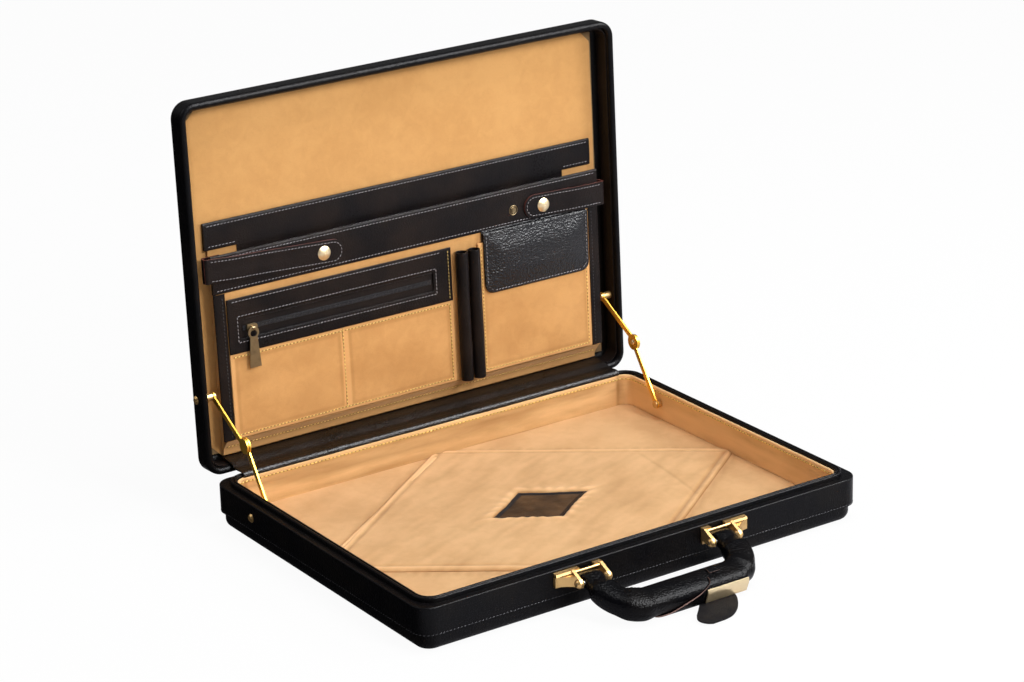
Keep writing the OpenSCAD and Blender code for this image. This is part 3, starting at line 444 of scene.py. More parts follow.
def ring_piece(name, path, profile, around, wave):
    """A closed profile of (out, up) points in mm carried once round a closed path, corner by corner."""
    count = len(profile)
    places = [along_path(path, i / around) for i in range(around)]

    def place(u, v):
        spot, way = places[round(u * around) % around]
        out = way.cross(Vector((0, 0, 1))).normalized()
        side, rise = profile[round(v * count) % count]
        sway = wave * wander(spot.x * 35, spot.y * 35, rise * 0.09)
        return spot + out * (side * MM + sway) + Vector((0, 0, rise * MM))

    piece = skin(name, around, count, place)
    weld(piece)
    return piece


lining_path = round_path(212.3, 154.3, 11.3, 0, 10)
lining_section = [(-0.5, 11.95), (-0.55, 14), (-0.6, 20), (-0.75, 26), (-0.7, 32), (-0.8, 37), (-1.25, 39.6),
                  (-1.3, 41.0), (-0.9, 41.9), (-0.2, 42.1), (0.45, 41.7), (0.5, 40), (0.5, 30), (0.5, 20),
                  (0.5, 11.95)]
wall_lining = ring_piece("wall_lining", lining_path, lining_section, 480, 0.28 * MM)


def wall_light_and_nap(spot):
    """A lighter turned edge over a darker band, smears, painted light on the right wall and a dark line at
    the seam in each rear and front corner.
    """
    light_and_nap = 0.75 * soft((spot.z - 38.6) / 1.2) - 0.38 * hump(spot.z - 32, 4.5)
    light_and_nap += 0.6 * wander(spot.x * 0.009, spot.y * 0.009, spot.z * 0.26)
    # Painted light on the right wall; the rest of this line is smears.
    light_and_nap += 0.6 * soft((spot.x - 205) / 4) + 0.4 * wander(spot.x * 0.024, spot.y * 0.035, spot.z * 0.45)
    if abs(spot.y) > 150:
        light_and_nap -= 0.9 * hump(abs(spot.x) - 201.5, 1.7)
    return light_and_nap


paint_light_and_nap(hand_over(wall_lining, wall_suede, "base", ["base_wall_lining"]), wall_light_and_nap)


def inwards(point, along):
    return -outwards(point, along)


sew("wall_topstitch", [round_path(210.7, 152.7, 9.8, 38.0)], inwards, gold_thread, "base",
    3.9, 3.0, 0.8)
# Under the topstitch, a dark brown strip of painted groove shade.
sew("wall_topstitch_groove", [round_path(211.1, 153.1, 10.2, 38.0)], inwards, painted_groove_shade, "base",
    3.9, 4.6, 0.55, 0)


# Floor of the base: suede over board, with a wide foam-backed diamond sewn over it. A strip stands
# up where the diamond's left rear seam was folded, and a small leather diamond is let into the middle.
floor_suede = suede_finish("floor_suede", (0.75, 0.46, 0.22, 1), (0.64, 0.365, 0.16, 1), (1, 1, 1), 0.75)
floor_wide, floor_deep, floor_top = 427, 311, 11.75
diamond_x, diamond_y, diamond_in = 219.7, 161.7, 130.2  # half its length and depth, and centre to seam
cut_x, cut_y = 210.6, 152.6  # where the walls cut its points off
patch_x, patch_y, patch_in, patch_right = 51.0, 34.0, 28.3, 4.5
patch_hollow, patch_puckers = 0.035, 22


def floor_place(u, v):
    x, y = (u - 0.5) * floor_wide, (v - 0.5) * floor_deep
    return Vector((x, y, floor_top + 0.25 * wander(x, y, 0, 0.03))) * MM


def floor_light_and_nap(spot):
    """Painted shade on the floor along the diamond's seam, and long smears of lighter and darker nap."""
    smear = wander((spot.x + spot.y) * 0.012, (spot.y - 0.6 * spot.x) * 0.035, 7)
    return 0.3 * smear - 0.4 * hump(diamond_rim(spot) + 3, 3.5)


def diamond_rim(spot):
    """How far inside the diamond's seam a place lies, in mm."""
    return (1 - abs(spot.x) / diamond_x - abs(spot.y) / diamond_y) * diamond_in


def crease(x, y, wide):
    """The long crease across the diamond's right half."""
    return 0.3 * hump((x - 142) * 0.99 + (41 - y) * 0.13, wide) * soft((70 - abs(y + 8)) / 40)


def patch_turn(x, y):
    """The way round the small diamond at a place, as an angle."""
    return atan2(y / patch_y, x / patch_x)


def patch_reach(x, y):
    """How far outside the small diamond's hollow edges a place lies, in mm."""
    hollow = patch_hollow * sin(2 * patch_turn(x, y)) ** 2
    return (abs(x) / patch_x + abs(y) / patch_y - 1 + hollow) * patch_in


def diamond_place(u, v):
    """Puffed inside its seam, low along it, less so at the right front, and puckered round the middle."""
    s, t = 2 * u - 1, 2 * v - 1
    x, y = diamond_x * (s + t) / 2, diamond_y * (s - t) / 2
    rim = (1 - max(abs(s), abs(t))) * diamond_in
    x, y = max(-cut_x, min(cut_x, x)), max(-cut_y, min(cut_y, y))
    flat = soft((x / diamond_x - y / diamond_y - 0.75) / 0.25)
    rise = (2.3 - 1.1 * flat) * soft(rim / 3.0) - (0.9 + 0.3 * flat) * soft(1 - abs(rim - 7.5) / 3.5)
    rise += 0.9 * soft(rim / 60) + 0.35 * wander(x, y * 1.4, 3, 0.022)
    rise -= crease(x, y, 1.6)
    near = patch_reach(x - patch_right, y)
    turn = patch_turn(x - patch_right, y) * patch_puckers + 2 * wander(x, y, 0, 0.08)
    rise += 0.45 * sin(turn) * exp(-abs(near - 3) / 5) + 0.5 * hump(near - 5, 4)
    rise -= (2.1 + rise * 0.35) * soft((1.6 - near) / 3.2)
    return Vector((x, y, floor_top + 0.1 + max(0.0, rise))) * MM


floor = skin("floor", 60, 44, floor_place)
thicken(floor, 1.0, -1)
paint_light_and_nap(hand_over(floor, floor_suede, "base", ["floor_lining"], 35), floor_light_and_nap)
diamond = skin("floor_diamond", 210, 210, diamond_place)
thicken(diamond, 0.6, -1)
hand_over(diamond, floor_suede, "base", ["floor_centre_panel"])


def diamond_light_and_nap(spot):
    """Painted light and shade on the diamond: a highlight on its rolled seam, painted shade behind it and in
    the crease, light and shade on the puckers round the middle, painted shade next to the small diamond, and
    smears.
    """
    rim = diamond_rim(spot)
    # Painted light: the seam's highlight and the shade beside it are stronger on some sides of the diamond
    # than on others.
    strength, light = (0.6, 0.6) if spot.x * spot.y > 0 else ((1.0, 1.0) if spot.x < 0 else (1.3, 0.0))
    light_and_nap = light * 0.9 * hump(rim - 3.6, 1.7)
    light_and_nap -= strength * (0.9 * hump(rim, 1.2) + 0.45 * hump(rim - 7.5, 2.0))
    smear = wander((spot.x + spot.y) * 0.014, (spot.y - 0.6 * spot.x) * 0.045, 3)
    wisp = wander((spot.x + spot.y) * 0.03, (spot.y - 0.5 * spot.x) * 0.13, 9)
    light_and_nap += 0.34 * smear + 0.22 * wisp - crease(spot.x, spot.y, 1.8)
    near = patch_reach(spot.x - patch_right, spot.y)
    pucker = sin(patch_turn(spot.x - patch_right, spot.y) * patch_puckers)
    light_and_nap += 0.35 * pucker * exp(-abs(near - 4) / 4) + 0.4 * hump(near - 4, 2.5)
    return light_and_nap - 1.0 * soft((1.0 - near) / 1.6)


paint_light_and_nap(diamond, diamond_light_and_nap)


strip_x, strip_y, strip_run_x, strip_run_y = -203, 12, 200, 139


def strip_place(u, v):
    along = Vector((strip_x + strip_run_x * u, strip_y + strip_run_y * u, 0))
    side = Vector((-strip_run_y, strip_run_x, 0)).normalized()
    turn = pi * 2 * v
    thick = 1.3 * soft(u / 0.05) * soft((1 - u) / 0.05) + 0.05
    return (along + side * (2.6 * cos(turn) + 0.5 * sin(9 * u)) * min(1, thick * 2)
            + Vector((0, 0, 13.2 + thick * sin(turn)))) * MM


strip = skin("floor_seam_strip", 90, 10, strip_place)
weld(strip)
# Painted light: the raised strip is made lighter all over.
paint_light_and_nap(hand_over(strip, floor_suede, "base"), lambda spot: 0.7)


def patch_place(u, v):
    s, t = 2 * u - 1, 2 * v - 1
    x, y = patch_x * (s + t) / 2, patch_y * (s - t) / 2
    hollow = 1 - patch_hollow * sin(2 * patch_turn(x, y)) ** 2 * max(abs(s), abs(t))
    rim = (1 - max(abs(s), abs(t))) * patch_in
    rise = 0.8 * soft(rim / 0.8) - 0.8 * soft((rim - 1.8) / 1.4) + 0.4 * soft((rim - 5) / 18)
    rise += 0.25 * wander(x, y, 9, 0.12)
    return Vector((patch_right + x * hollow, y * hollow, 12.9 + rise)) * MM


def patch_finish():
    """Worn brown leather, black along the border that is sewn down."""
    finish, place = new_finish("patch_leather")
    broad = finish.cloud(place, 55.0, 5.0)
    fine = finish.cloud(place, 900.0, 4.0)
    border = finish.node("Attribute", {"attribute_name": "border"}, None, 2)
    worn = finish.mix(finish.blur(0.35, 0.68, 0.7 * broad + 0.3 * fine), (0.026, 0.014, 0.008, 1),
                      (0.100, 0.054, 0.026, 1))
    tone = finish.mix(border, worn, (0.008, 0.007, 0.008, 1))
    bump = finish.relief(fine + broad, 0.3 * MM, 0.8)
    return finish.coat({"Base Color": tone, "Roughness": 0.45 + 0.2 * (fine - 0.5), "Normal": bump,
                        "Specular IOR Level": 0.2})


lining_leather = grain_finish("lining_leather", (0.006, 0.0045, 0.0045, 1), (0.013, 0.0085, 0.007, 1), 0.40,
                              1.1, 0.25, 0.14)
patch = skin("floor_patch_skin", 70, 70, patch_place)
thicken(patch, 0.5, -1)
hand_over(patch, patch_finish(), "base", ["floor_patch"])
border = patch.data.attributes.new("border", "FLOAT", "POINT")
for value, v in zip(border.data, patch.data.vertices):
    value.value = soft((5.4 + patch_reach(v.co.x / MM - patch_right, v.co.y / MM)) / 1.4)


# Hinges: brass butt hinges with steel pins on the rear walls, hidden inside by a flap of leather
# that runs from the base's rear lining over the welts and is glued up into the lid.
def metal_finish(name, colour, deep, rough, brushed=0.0):
    finish, place = new_finish(name)
    broad = finish.cloud(place, 130.0, 5.0)
    stretched = finish.node("Mapping", None, {"Vector": place, "Scale": (1, 14, 14)})
    lines = finish.cloud(stretched, 260.0, 4.0)
    tarnish = finish.blur(0.48, 0.78, broad)
    tone = finish.mix(tarnish * 0.6, colour, deep)
    bump = finish.relief(lines, 0.04 * MM, 0.12 + brushed)
    return finish.coat({"Base Color": tone, "Metallic": 0.86, "Normal": bump,
                        "Roughness": rough + 0.14 * tarnish + 0.1 * (lines - 0.5)})


brass = metal_finish("polished_brass", (0.92, 0.60, 0.17, 1), (0.62, 0.34, 0.075, 1), 0.19)
stay_brass = metal_finish("stay_brass", (0.84, 0.48, 0.07, 1), (0.66, 0.35, 0.045, 1), 0.36)
cast_brass = metal_finish("cast_brass", (0.66, 0.42, 0.17, 1), (0.42, 0.245, 0.09, 1), 0.38)
pale_brass = metal_finish("pale_brass", (0.84, 0.68, 0.42, 1), (0.66, 0.50, 0.28, 1), 0.33, 0.05)
old_brass = metal_finish("old_brass", (0.23, 0.17, 0.09, 1), (0.09, 0.065, 0.035, 1), 0.34, 0.4)
steel = metal_finish("steel", (0.50, 0.49, 0.47, 1), (0.3, 0.29, 0.28, 1), 0.28, 0.2)
dress(brass, "hinge_leaves_base", "hinge_leaves_lid", "hinge_screws_base", "hinge_screws_lid")
dress(steel, "hinge_pins")

board_finish = suede_finish("grey_board", (0.30, 0.19, 0.09, 1), (0.20, 0.12, 0.06, 1), (1, 1, 1), 0.8)
dress(board_finish, "floor_pad", "lid_padding")


def curve_through(points, f):
    """A smooth line through points, at f from 0 to 1."""
    last = len(points) - 1
    i = min(last - 1, int(f * last))
    t = f * last - i
    a, b, c, d = (Vector(points[max(0, min(last, k))]) for k in (i - 1, i, i + 1, i + 2))
    bend, twist = 2 * a - 5 * b + 4 * c - d, 3 * b - a - 3 * c + d
    return 0.5 * (2 * b + (c - a) * t + bend * t * t + twist * t ** 3)


def bevel(piece, width, segments=2, angle=50):
    """Rounds the edges of a piece that are sharper than an angle, width in mm."""
    modify(piece, "BEVEL", width=width * MM, segments=segments, limit_method="ANGLE",
           angle_limit=radians(angle))


cover_wide = 404
cover_line = [(154.5, 40.6), (153.9, 41.9), (153.6, 43.4), (154.9, 45.5), (159.3, 45.9), (164, 45.4),
              (168.5, 45.7), (172.8, 47.1), (177.2, 48.3), (184, 48.9), (191.0, 49.0)]


def cover_place(u, v):
    x = (u - 0.5) * cover_wide
    y, z = curve_through(cover_line, v)
    sway = 0.22 * wander(x * 0.018, v * 1.2, 2) * soft(v * 5) * soft((1 - v) * 5)
    return Vector((x, y - 0.3 * sway, z + sway)) * MM


cover_leather = grain_finish("cover_leather", (0.004, 0.0035, 0.0036, 1), (0.008, 0.006, 0.0052, 1), 0.30,
                             1.35, 0.55, 0.3, 0.0)
cover = skin("hinge_flap", 150, 44, cover_place)
thicken(cover, 1.2)
bevel(cover, 0.35)
hand_over(cover, cover_leather, None, ["hinge_cover"])
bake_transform(cover)


# Handle fittings: two cast brass brackets screwed to the base's front, with steel pins that the
# handle turns on. Each bracket carries a brass wing that slides sideways and works the latch.
dress(cast_brass, "handle_brackets", "bracket_screws", "latch_slide_left", "latch_slide_right")
dress(steel, "handle_pins")


# Handle: a steel core padded and sewn up in pebbled leather, hanging down in front of the case.
# The seam runs along its lower outer side, and it flattens at both ends round the pins.
handle_droop = radians(21.38)
pin_y, pin_z = -180, 28.5
leg_x, bend_out, bend_radius, end_radius = 67.5, 40.0, 27.0, 8.0
end_wide, end_thick, grip_wide, grip_thick = 9.5, 7.4, 12.0, 10.0  # halves of its section


def on_handle(x, out, through):
    """A place on the handle in mm: across, out from the pins and through its plane."""
    return Vector((x, pin_y - out * cos(handle_droop) - through * sin(handle_droop),
                   pin_z - out * sin(handle_droop) + through * cos(handle_droop))) * MM


def handle_line(f):
    """The grip's middle line at f from 0 to 1: point and outward direction, in (across, out), and the
    length from the nearer pin."""
    lead = bend_out - bend_radius
    arc = bend_radius * pi / 2
    middle = 2 * (leg_x - bend_radius)
    run = f * (2 * lead + 2 * arc + middle + 2 * end_radius) - end_radius
    mirror = 1
    half = lead + arc + middle / 2
    if run > half:
        run, mirror = 2 * half - run, -1
    if run < lead:
        spot, face = (leg_x, run), (1, 0)
    elif run < lead + arc:
        a = (run - lead) / bend_radius
        face = (cos(a), sin(a))
        spot = (leg_x - bend_radius + bend_radius * face[0], lead + bend_radius * face[1])
    else:
        spot, face = (leg_x - bend_radius - (run - lead - arc), bend_out), (0, 1)
    return (spot[0] * -mirror, spot[1]), (face[0] * -mirror, face[1]), min(run, 2 * half - run)


def close_ends(piece):
    """Welds a tube along its seam, puts a face over each open end and turns all faces outwards."""
    weld(piece)
    bpy.ops.object.mode_set(mode="EDIT")
    bpy.ops.mesh.select_all(action="DESELECT")
    bpy.ops.mesh.select_non_manifold(extend=False, use_wire=False, use_boundary=True, use_multi_face=False,
                                     use_non_contiguous=False, use_verts=False)
    bpy.ops.mesh.edge_face_add()
    bpy.ops.mesh.select_all(action="SELECT")
    bpy.ops.mesh.normals_make_consistent(inside=False)
    bpy.ops.object.mode_set(mode="OBJECT")


def grip_place(u, v):
    (x, out), (fx, fo), run = handle_line(u)
    swell = soft((run - 5.5) / 9)
    half_wide = end_wide + (grip_wide - end_wide) * swell
    half_thick = end_thick + (grip_thick - end_thick) * swell
    free = max(soft((-38 - x) / 9), soft((x - 52) / 6))
    if run < 0:
        half_thick *= sqrt(max(0.002, 1 - (run / end_radius) ** 2))
    turn = 2 * pi * v
    c, s = cos(turn), sin(turn)
    power = 2 / 2.7
    side = half_wide * copysign(abs(c) ** power, c)
    through = half_thick * copysign(abs(s) ** power, s)
    away = abs((v - 0.862 + 0.5) % 1 - 0.5)
    groove = 0.75 * hump(away, 0.011) * swell
    wrinkle = 0.16 * wander(x * 0.07, out * 0.07, v * 6) * swell
    bend = soft(1 - abs(abs(x) - 58) / 16) * soft((out - 10) / 10)
    pleat = 0.16 * bend * sin(run * 1.25) * soft((-c + 0.25) / 0.8)
    fat = 1.5 * soft((run - 30) / 10) * max(free, 0.8 * soft(-c))
    scale = 1 - (groove + wrinkle + pleat - fat) / 11
    side, through = side * scale, through * scale
    return on_handle(x + fx * side, out + fo * side, through)


handle_leather = grain_finish("handle_leather", (0.0022, 0.0022, 0.003, 1), (0.0045, 0.0038, 0.0038, 1), 0.15,
                              1.5, 0.52, 0.065, 0.0)
grip = skin("handle_grip_skin", 320, 64, grip_place)
close_ends(grip)
hand_over(grip, handle_leather, "handle", ["handle_grip"])
dress(steel, "handle_core")


# Tag: a leather strap looped round the grip under a bare plate, and a stiff flap of matt leather
# that hangs from it to the table. Its cut edges show the pink of the hide.
dress(pale_brass, "tag_plate")
tag_leather = grain_finish("tag_leather", (0.009, 0.0085, 0.0095, 1), (0.013, 0.0115, 0.0115, 1), 0.6,
                           0.9, 0.2, 0.06)
cut_edge = thread_finish("cut_edge", (0.26, 0.15, 0.125, 1), 0.7)


def wrap_line(f, gap):
    """Once round the grip's section from its inner lower corner: (out from its middle, through)."""
    w, t, r = grip_wide + gap, grip_thick + gap, 7 + gap
    line = [Vector((-w + r, -t))]
    for cx, ct, start in ((w - r, r - t, -90), (w - r, t - r, 0), (r - w, t - r, 90), (r - w, r - t, 180)):
        for i in range(9):
            a = radians(start + 90 * i / 8)
            line.append(Vector((cx + r * cos(a), ct + r * sin(a))))
    return along_path(line, f)[0]


def loop_place(u, v):
    out, through = wrap_line(v, 0.35)
    return on_handle(24 + 12 * u, bend_out + out, through)


def under_place(u, v):
    out, through = wrap_line(0.53 * v, 1.15)
    left = max(-36.5, 8 + (through - 8) * 42 / 18) + 9 * max(0.0, 1 - v / 0.18) ** 2
    return on_handle(left + (50.5 - left) * u, bend_out + out, through)


def tab_top_place(u, v):
    out, through = wrap_line(0.575 + 0.08 * v, 1.1)
    return on_handle(20 + 10.5 * u, bend_out + out, through)


def two_finishes(piece, face, rim):
    piece.data.materials.append(face)
    piece.data.materials.append(rim)


for name, across, along, place, rim, thick in (
        ("tag_loop", 10, 72, loop_place, handle_leather, 0.5),
        ("tag_under", 60, 36, under_place, cut_edge, 1.1),
        ("tag_tab", 12, 10, tab_top_place, cut_edge, 0.5)):
    band = skin(name, across, along, place)
    weld(band)
    two_finishes(band, handle_leather, rim)
    thicken(band, thick, 0, 1)
    bevel(band, 0.15)
    hand_over(band, None, "handle", ["tag_strap"])


tag_left = [(3.4, -2.4), (-0.5, 2), (-5.2, 6.8), (-10.2, 12), (-13.0, 16.5), (-13.6, 20), (-12.0, 23.5),
            (-9.0, 26.5), (-5.5, 28.2)]
tag_right = [(39.4, -2.4), (39.2, 0), (37.4, 4), (34.0, 9.5), (30.2, 14.6), (26.0, 19.2), (20.5, 23.4),
             (14.0, 26.6), (6.0, 28.4)]


def tag_place(u, v):
    """Between its two edges, given as (across, ahead of its fold), and sloping down a little."""
    left, right = (curve_through([(x, ahead, 0) for x, ahead in edge], v) for edge in (tag_left, tag_right))
    x, ahead = left.x + (right.x - left.x) * u, left.y + (right.y - left.y) * u
    slope = radians(3.7)
    curl = (0.5 * sin(pi * v) + 0.3 * wander(x * 0.1, v * 3, 5)) * soft(ahead / 4)
    return Vector((x, -230.19 - ahead * cos(slope), 2.94 - ahead * sin(slope) + curl)) * MM


tag = skin("tag_leaf", 30, 40, tag_place)
weld(tag)
two_finishes(tag, tag_leather, cut_edge)
thicken(tag, 1.3)
bevel(tag, 0.4, 3)
hand_over(tag, None, "tag", ["tag_flap"])


# Lid linings: thin black leather glued round the walls, wrinkled in the corners, and a padded suede
# panel with cut corners on the back. The lid stands open by 92 degrees, and lid_turn carries its face there.
lid_turn = Matrix(((1, 0, 0, 0), (0, 0.034899, -0.999391, 0.174113), (0, 0.999391, 0.034899, 0.039869),
                   (0, 0, 0, 1)))
S_WAY = Vector((0, 0.034899, 0.999391))
N_WAY = Vector((0, -0.999391, 0.034899))


def on_lid(x, s, n):
    """A place on the lid's face in mm: across, up from the hinges and out from the rim."""
    return lid_turn @ (Vector((x, s, n)) * MM)


lid_around, lid_middle = 420, 167
lid_path = round_path(218.3, 160.3, 10.2, 0, 10)
lid_walls = [along_path(lid_path, i / lid_around) for i in range(lid_around)]


def wall_place(u, v):
    spot, way = lid_walls[round(u * lid_around) % lid_around]
    out = way.cross(Vector((0, 0, 1))).normalized()
    depth = -4.3 - 14.6 * v
    corner = hump(hypot(abs(spot.x) - 214 * MM, abs(spot.y) - 156 * MM), 9 * MM)
    sway = 0.22 * wander(spot.x * 30, spot.y * 30, depth * 0.1)
    sway += 0.45 * corner * sin(u * 900) * v
    spot = spot + out * sway * MM
    return on_lid(spot.x / MM, lid_middle + spot.y / MM, depth)


lid_wall = skin("lid_wall_skin", lid_around, 10, wall_place)
weld(lid_wall)
thicken(lid_wall, 0.9)
hand_over(lid_wall, lining_leather, "lid", ["lid_wall_lining"])

back_suede = suede_finish("back_suede", (0.70, 0.375, 0.132, 1), (0.60, 0.305, 0.10, 1), (1, 1, 1), 0.75)
back_wide, back_high, back_foot, back_cut = 422, 316, 9, 12


def back_place(u, v):
    x, s = (u - 0.5) * back_wide, back_foot + back_high * v
    dx, ds = back_wide / 2 - abs(x), back_high / 2 - abs(s - lid_middle)
    if dx + ds < back_cut:
        push = (back_cut - dx - ds) / 2
        x -= copysign(push, x)
        s -= copysign(push, s - lid_middle)
        dx, ds = dx + push, ds + push
    rim = min(dx, ds, (dx + ds - back_cut) / 1.414)
    rise = 0.9 * soft(rim / 2.6) + 0.5 * soft(rim / 40) + 0.3 * wander(x, s, 1, 0.02)
    return on_lid(x, s, -20.1 + rise)


back_panel = skin("lid_back_pad", 150, 112, back_place)
thicken(back_panel, 0.6, -1)
hand_over(back_panel, back_suede, "lid", ["lid_back_panel"])


# Stays: two flat links of yellow brass on each side, which hold the lid up and fold together at a
# bright disc when it closes. Rivets of darker brass hold their ends to the walls of base and lid.
for side in ("left", "right"):
    dress(stay_brass, "stay_lower_" + side, "stay_upper_" + side)
    dress(pale_brass, "elbow_rivet_" + side)
dress(cast_brass, "stay_rivets_base", "stay_rivets_lid")


# File pockets: two walls of suede, one behind the other, each with a leather band folded over its
# upper edge. Pleated suede joins their sides, leather binds the front one's edges, and a sloping
# strip carries its foot back to the lid.
pocket_suede = suede_finish("pocket_suede", (0.70, 0.375, 0.135, 1), (0.58, 0.29, 0.095, 1), (1, 1, 1), 0.8)
band_leather = grain_finish("band_leather", (0.006, 0.005, 0.0055, 1), (0.014, 0.0095, 0.008, 1), 0.31,
                            1.25, 0.46, 0.12, 0.5)
grey_thread = thread_finish("grey_thread", (0.40, 0.38, 0.40, 1), 0.5)
pocket_x, band_x = 200.5, 203.5  # half the length of a pocket's wall and of its band
front_n, rear_n = -7.6, -17.6  # where the backs of the two walls lie


def stations(breaks, cell):
    """Places at most a cell apart, all breaks among them."""
    places = [breaks[0]]
    for a, b in zip(breaks, breaks[1:]):
        steps = max(1, ceil((b - a) / cell - 0.001))
        places += [a + (b - a) * (i + 1) / steps for i in range(steps)]
    return places


def leaf(name, xs, ss, back, front, material, replaced=(), body="lid", corner=0.0, corners=(1, 1, 1, 1),
         cell=3.0, puff=0.0, wave=0.12, soften=0.35, hole=None):
    """A flat piece on the lid's face between edges xs and ss; corner rounds it, puff fills it."""
    across, up = stations(xs, cell), stations(ss, cell)
    x0, x1, s0, s1 = xs[0], xs[-1], ss[0], ss[-1]

    def place(u, v):
        x, s = across[round(u * (len(across) - 1))], up[round(v * (len(up) - 1))]
        dx, ds = min(x - x0, x1 - x), min(s - s0, s1 - s)
        which = (1 if x - x0 > x1 - x else 0) + (2 if s - s0 > s1 - s else 0)
        if corner and corners[which] and dx < corner and ds < corner:
            px, ps = corner - dx, corner - ds
            far = hypot(px, ps)
            if far > 0:
                shrink = max(px, ps) / far
                px, ps = px * shrink, ps * shrink
                x = x0 + corner - px if which % 2 == 0 else x1 - corner + px
                s = s0 + corner - ps if which < 2 else s1 - corner + ps
        rim = min(x - x0, x1 - x, s - s0, s1 - s)
        rise = puff * soft(rim / 22) ** 0.8 if puff else 0
        rise += wave * wander(x * 0.035, s * 0.035, front)
        return on_lid(x, s, front + rise)

    piece = skin(name, len(across) - 1, len(up) - 1, place)
    if hole:
        alone(piece)
        bpy.ops.object.mode_set(mode="EDIT")
        bpy.ops.mesh.select_mode(type="FACE")
        bpy.ops.mesh.select_all(action="DESELECT")
        cut = bmesh.from_edit_mesh(piece.data)
        for f in cut.faces:
            middle = lid_turn.inverted() @ f.calc_center_median() / MM
            f.select_set(hole[0] < middle.x < hole[1] and hole[2] < middle.y < hole[3])
        bmesh.update_edit_mesh(piece.data)
        bpy.ops.mesh.delete(type="FACE")
        bpy.ops.object.mode_set(mode="OBJECT")
    thicken(piece, front - back, -1)
    if soften:
        bevel(piece, soften)
    return hand_over(piece, material, body, replaced)


def lid_row(name, ends, n, thread, body="lid", pitch=3.4, long=2.5, thick=0.34, slant=8):
    """Straight rows of stitches on the lid's face; ends are (x, s, x, s)."""
    lines = [[on_lid(a, b, n), on_lid(c, d, n)] for a, b, c, d in ends]
    return sew(name, lines, N_WAY, thread, body, pitch, long, thick, slant)


def gold_row(name, ends, n):
    """Rows of gold stitches over a dark brown strip, painted shade of their groove in the suede."""
    lid_row(name, ends, n, gold_thread, pitch=3.5, long=2.4, thick=0.66)
    lid_row(name + "_groove", ends, n - 0.22, painted_groove_shade, pitch=3.5, long=4.2, thick=0.66,
            slant=0)


def pocket_light_and_nap(xs, ss):
    """Lighter and darker suede on sewn panels between edges xs and ss: lighter along their rims, a darker
    line just inside them, and smears.
    """
    def light_and_nap_at(spot):
        on_face = lid_turn.inverted() @ (spot * MM) / MM
        x, s = on_face.x, on_face.y
        rim = min([s - ss[0], ss[1] - s] + [abs(x - edge) for edge in xs])
        smear = wander(x * 0.022, s * 0.05, xs[0])
        return 0.5 * soft((4.6 - rim) / 1.6) - 0.3 * hump(rim - 5.6, 1.6) + 0.3 * smear
    return light_and_nap_at


leaf("rear_pocket_wall", (-pocket_x, pocket_x), (12, 207), rear_n, -16.65, pocket_suede,
     ["rear_pocket_sheet"], cell=7)
leaf("front_pocket_wall", (-pocket_x, pocket_x), (27, 169.5), front_n, -6.65, pocket_suede,
     ["front_pocket_sheet"], cell=6)


def lid_strand(name, points, x_or_s, span, steps, material, replaced, wave=0.15, mirror=False):
    """A closed section of (a, n) points carried along x, or along s."""
    count = len(points)

    def place(u, v):
        run = span[0] + (span[1] - span[0]) * u
        a, n = points[round(v * count) % count]
        sway = wave * wander(run * 0.03, a * 0.08, n * 0.3)
        if x_or_s == "x":
            return on_lid(run, a + sway, n + sway)
        return on_lid(-(a + sway) if mirror else a + sway, run, n + sway)

    piece = skin(name, steps, count, place)
    close_ends(piece)
    return hand_over(piece, material, "lid", replaced, 50)


def band_section(bottom, upper, sheet_back):
    """Section of a band of leather folded over a pocket's edge, in (s, n)."""
    low, high, mid = sheet_back - 1, sheet_back + 2, sheet_back + 0.5
    rows = 9
    section = [(bottom, low + 0.3), (bottom, high - 0.3), (bottom + 0.5, high)]
    section += [(bottom + 1 + (upper - bottom - 3.5) * i / rows, high + 0.25 * sin(pi * i / rows))
                for i in range(rows + 1)]
    section += [(upper - 1.5 + 1.5 * cos(a), mid + 1.5 * sin(a))
                for a in (radians(70 - 20 * k) for k in range(8))]
    return section + [(upper - 2, low), (bottom + (upper - bottom) * 0.6, low), (bottom + 0.4, low)]


lid_strand("front_band", band_section(161.5, 196, front_n), "x", (-band_x, band_x), 120, band_leather,
           ["front_pocket_band"])
lid_row("front_band_stitches", [(-pocket_x, s, pocket_x, s) for s in (192.9, 164.4)], -5.45, grey_thread)
lid_strand("rear_band", band_section(190, 223.5, rear_n), "x", (-171.7, 171.7), 100, band_leather,
           ["rear_pocket_band"])
for side, ends in (("left", (-band_x, -171.4)), ("right", (171.4, band_x))):
    lid_strand("rear_band_end_" + side, band_section(199, 223.5, rear_n), "x", ends, 12, band_leather,
               ["rear_pocket_band"])
lid_row("rear_band_stitches", [(-pocket_x, 220.4, pocket_x, 220.4), (-168, 193, 168, 193),
                               (-pocket_x, 202, -173, 202), (173, 202, pocket_x, 202)], -15.45, grey_thread)

for side, mirrored in (("left", True), ("right", False)):
    folds = [(190.5, -15.6), (200.8, -13.9), (194.0, -12.1), (201.0, -10.4), (190.9, -8.6)]
    front_side = [(a, n + 0.4) for a, n in folds]
    back_side = [(a, n - 0.4) for a, n in reversed(folds)]
    lid_strand("gusset_pleats_" + side, front_side + back_side, "s", (28, 159), 30, pocket_suede,
               ["gusset_" + side], 0.3, mirrored)
    binding = [(192.5, -6.4), (192.7, -5.75), (195, -5.6), (199, -5.55), (202.3, -5.65), (203.4, -6.2),
               (203.4, -7.6), (202.3, -8.25), (196, -8.3), (192.6, -8.2), (192.5, -7.7), (199, -7.7),
               (200.4, -7.2), (200.2, -6.6)]
    lid_strand("edge_binding_" + side, binding, "s", (27, 160.9), 50, band_leather,
               ["edge_bindings"], 0.12, mirrored)
    x = -195.6 if mirrored else 195.6
    lid_row("binding_stitches_" + side, [(x, 29, x, 158)], -5.5, black_thread)

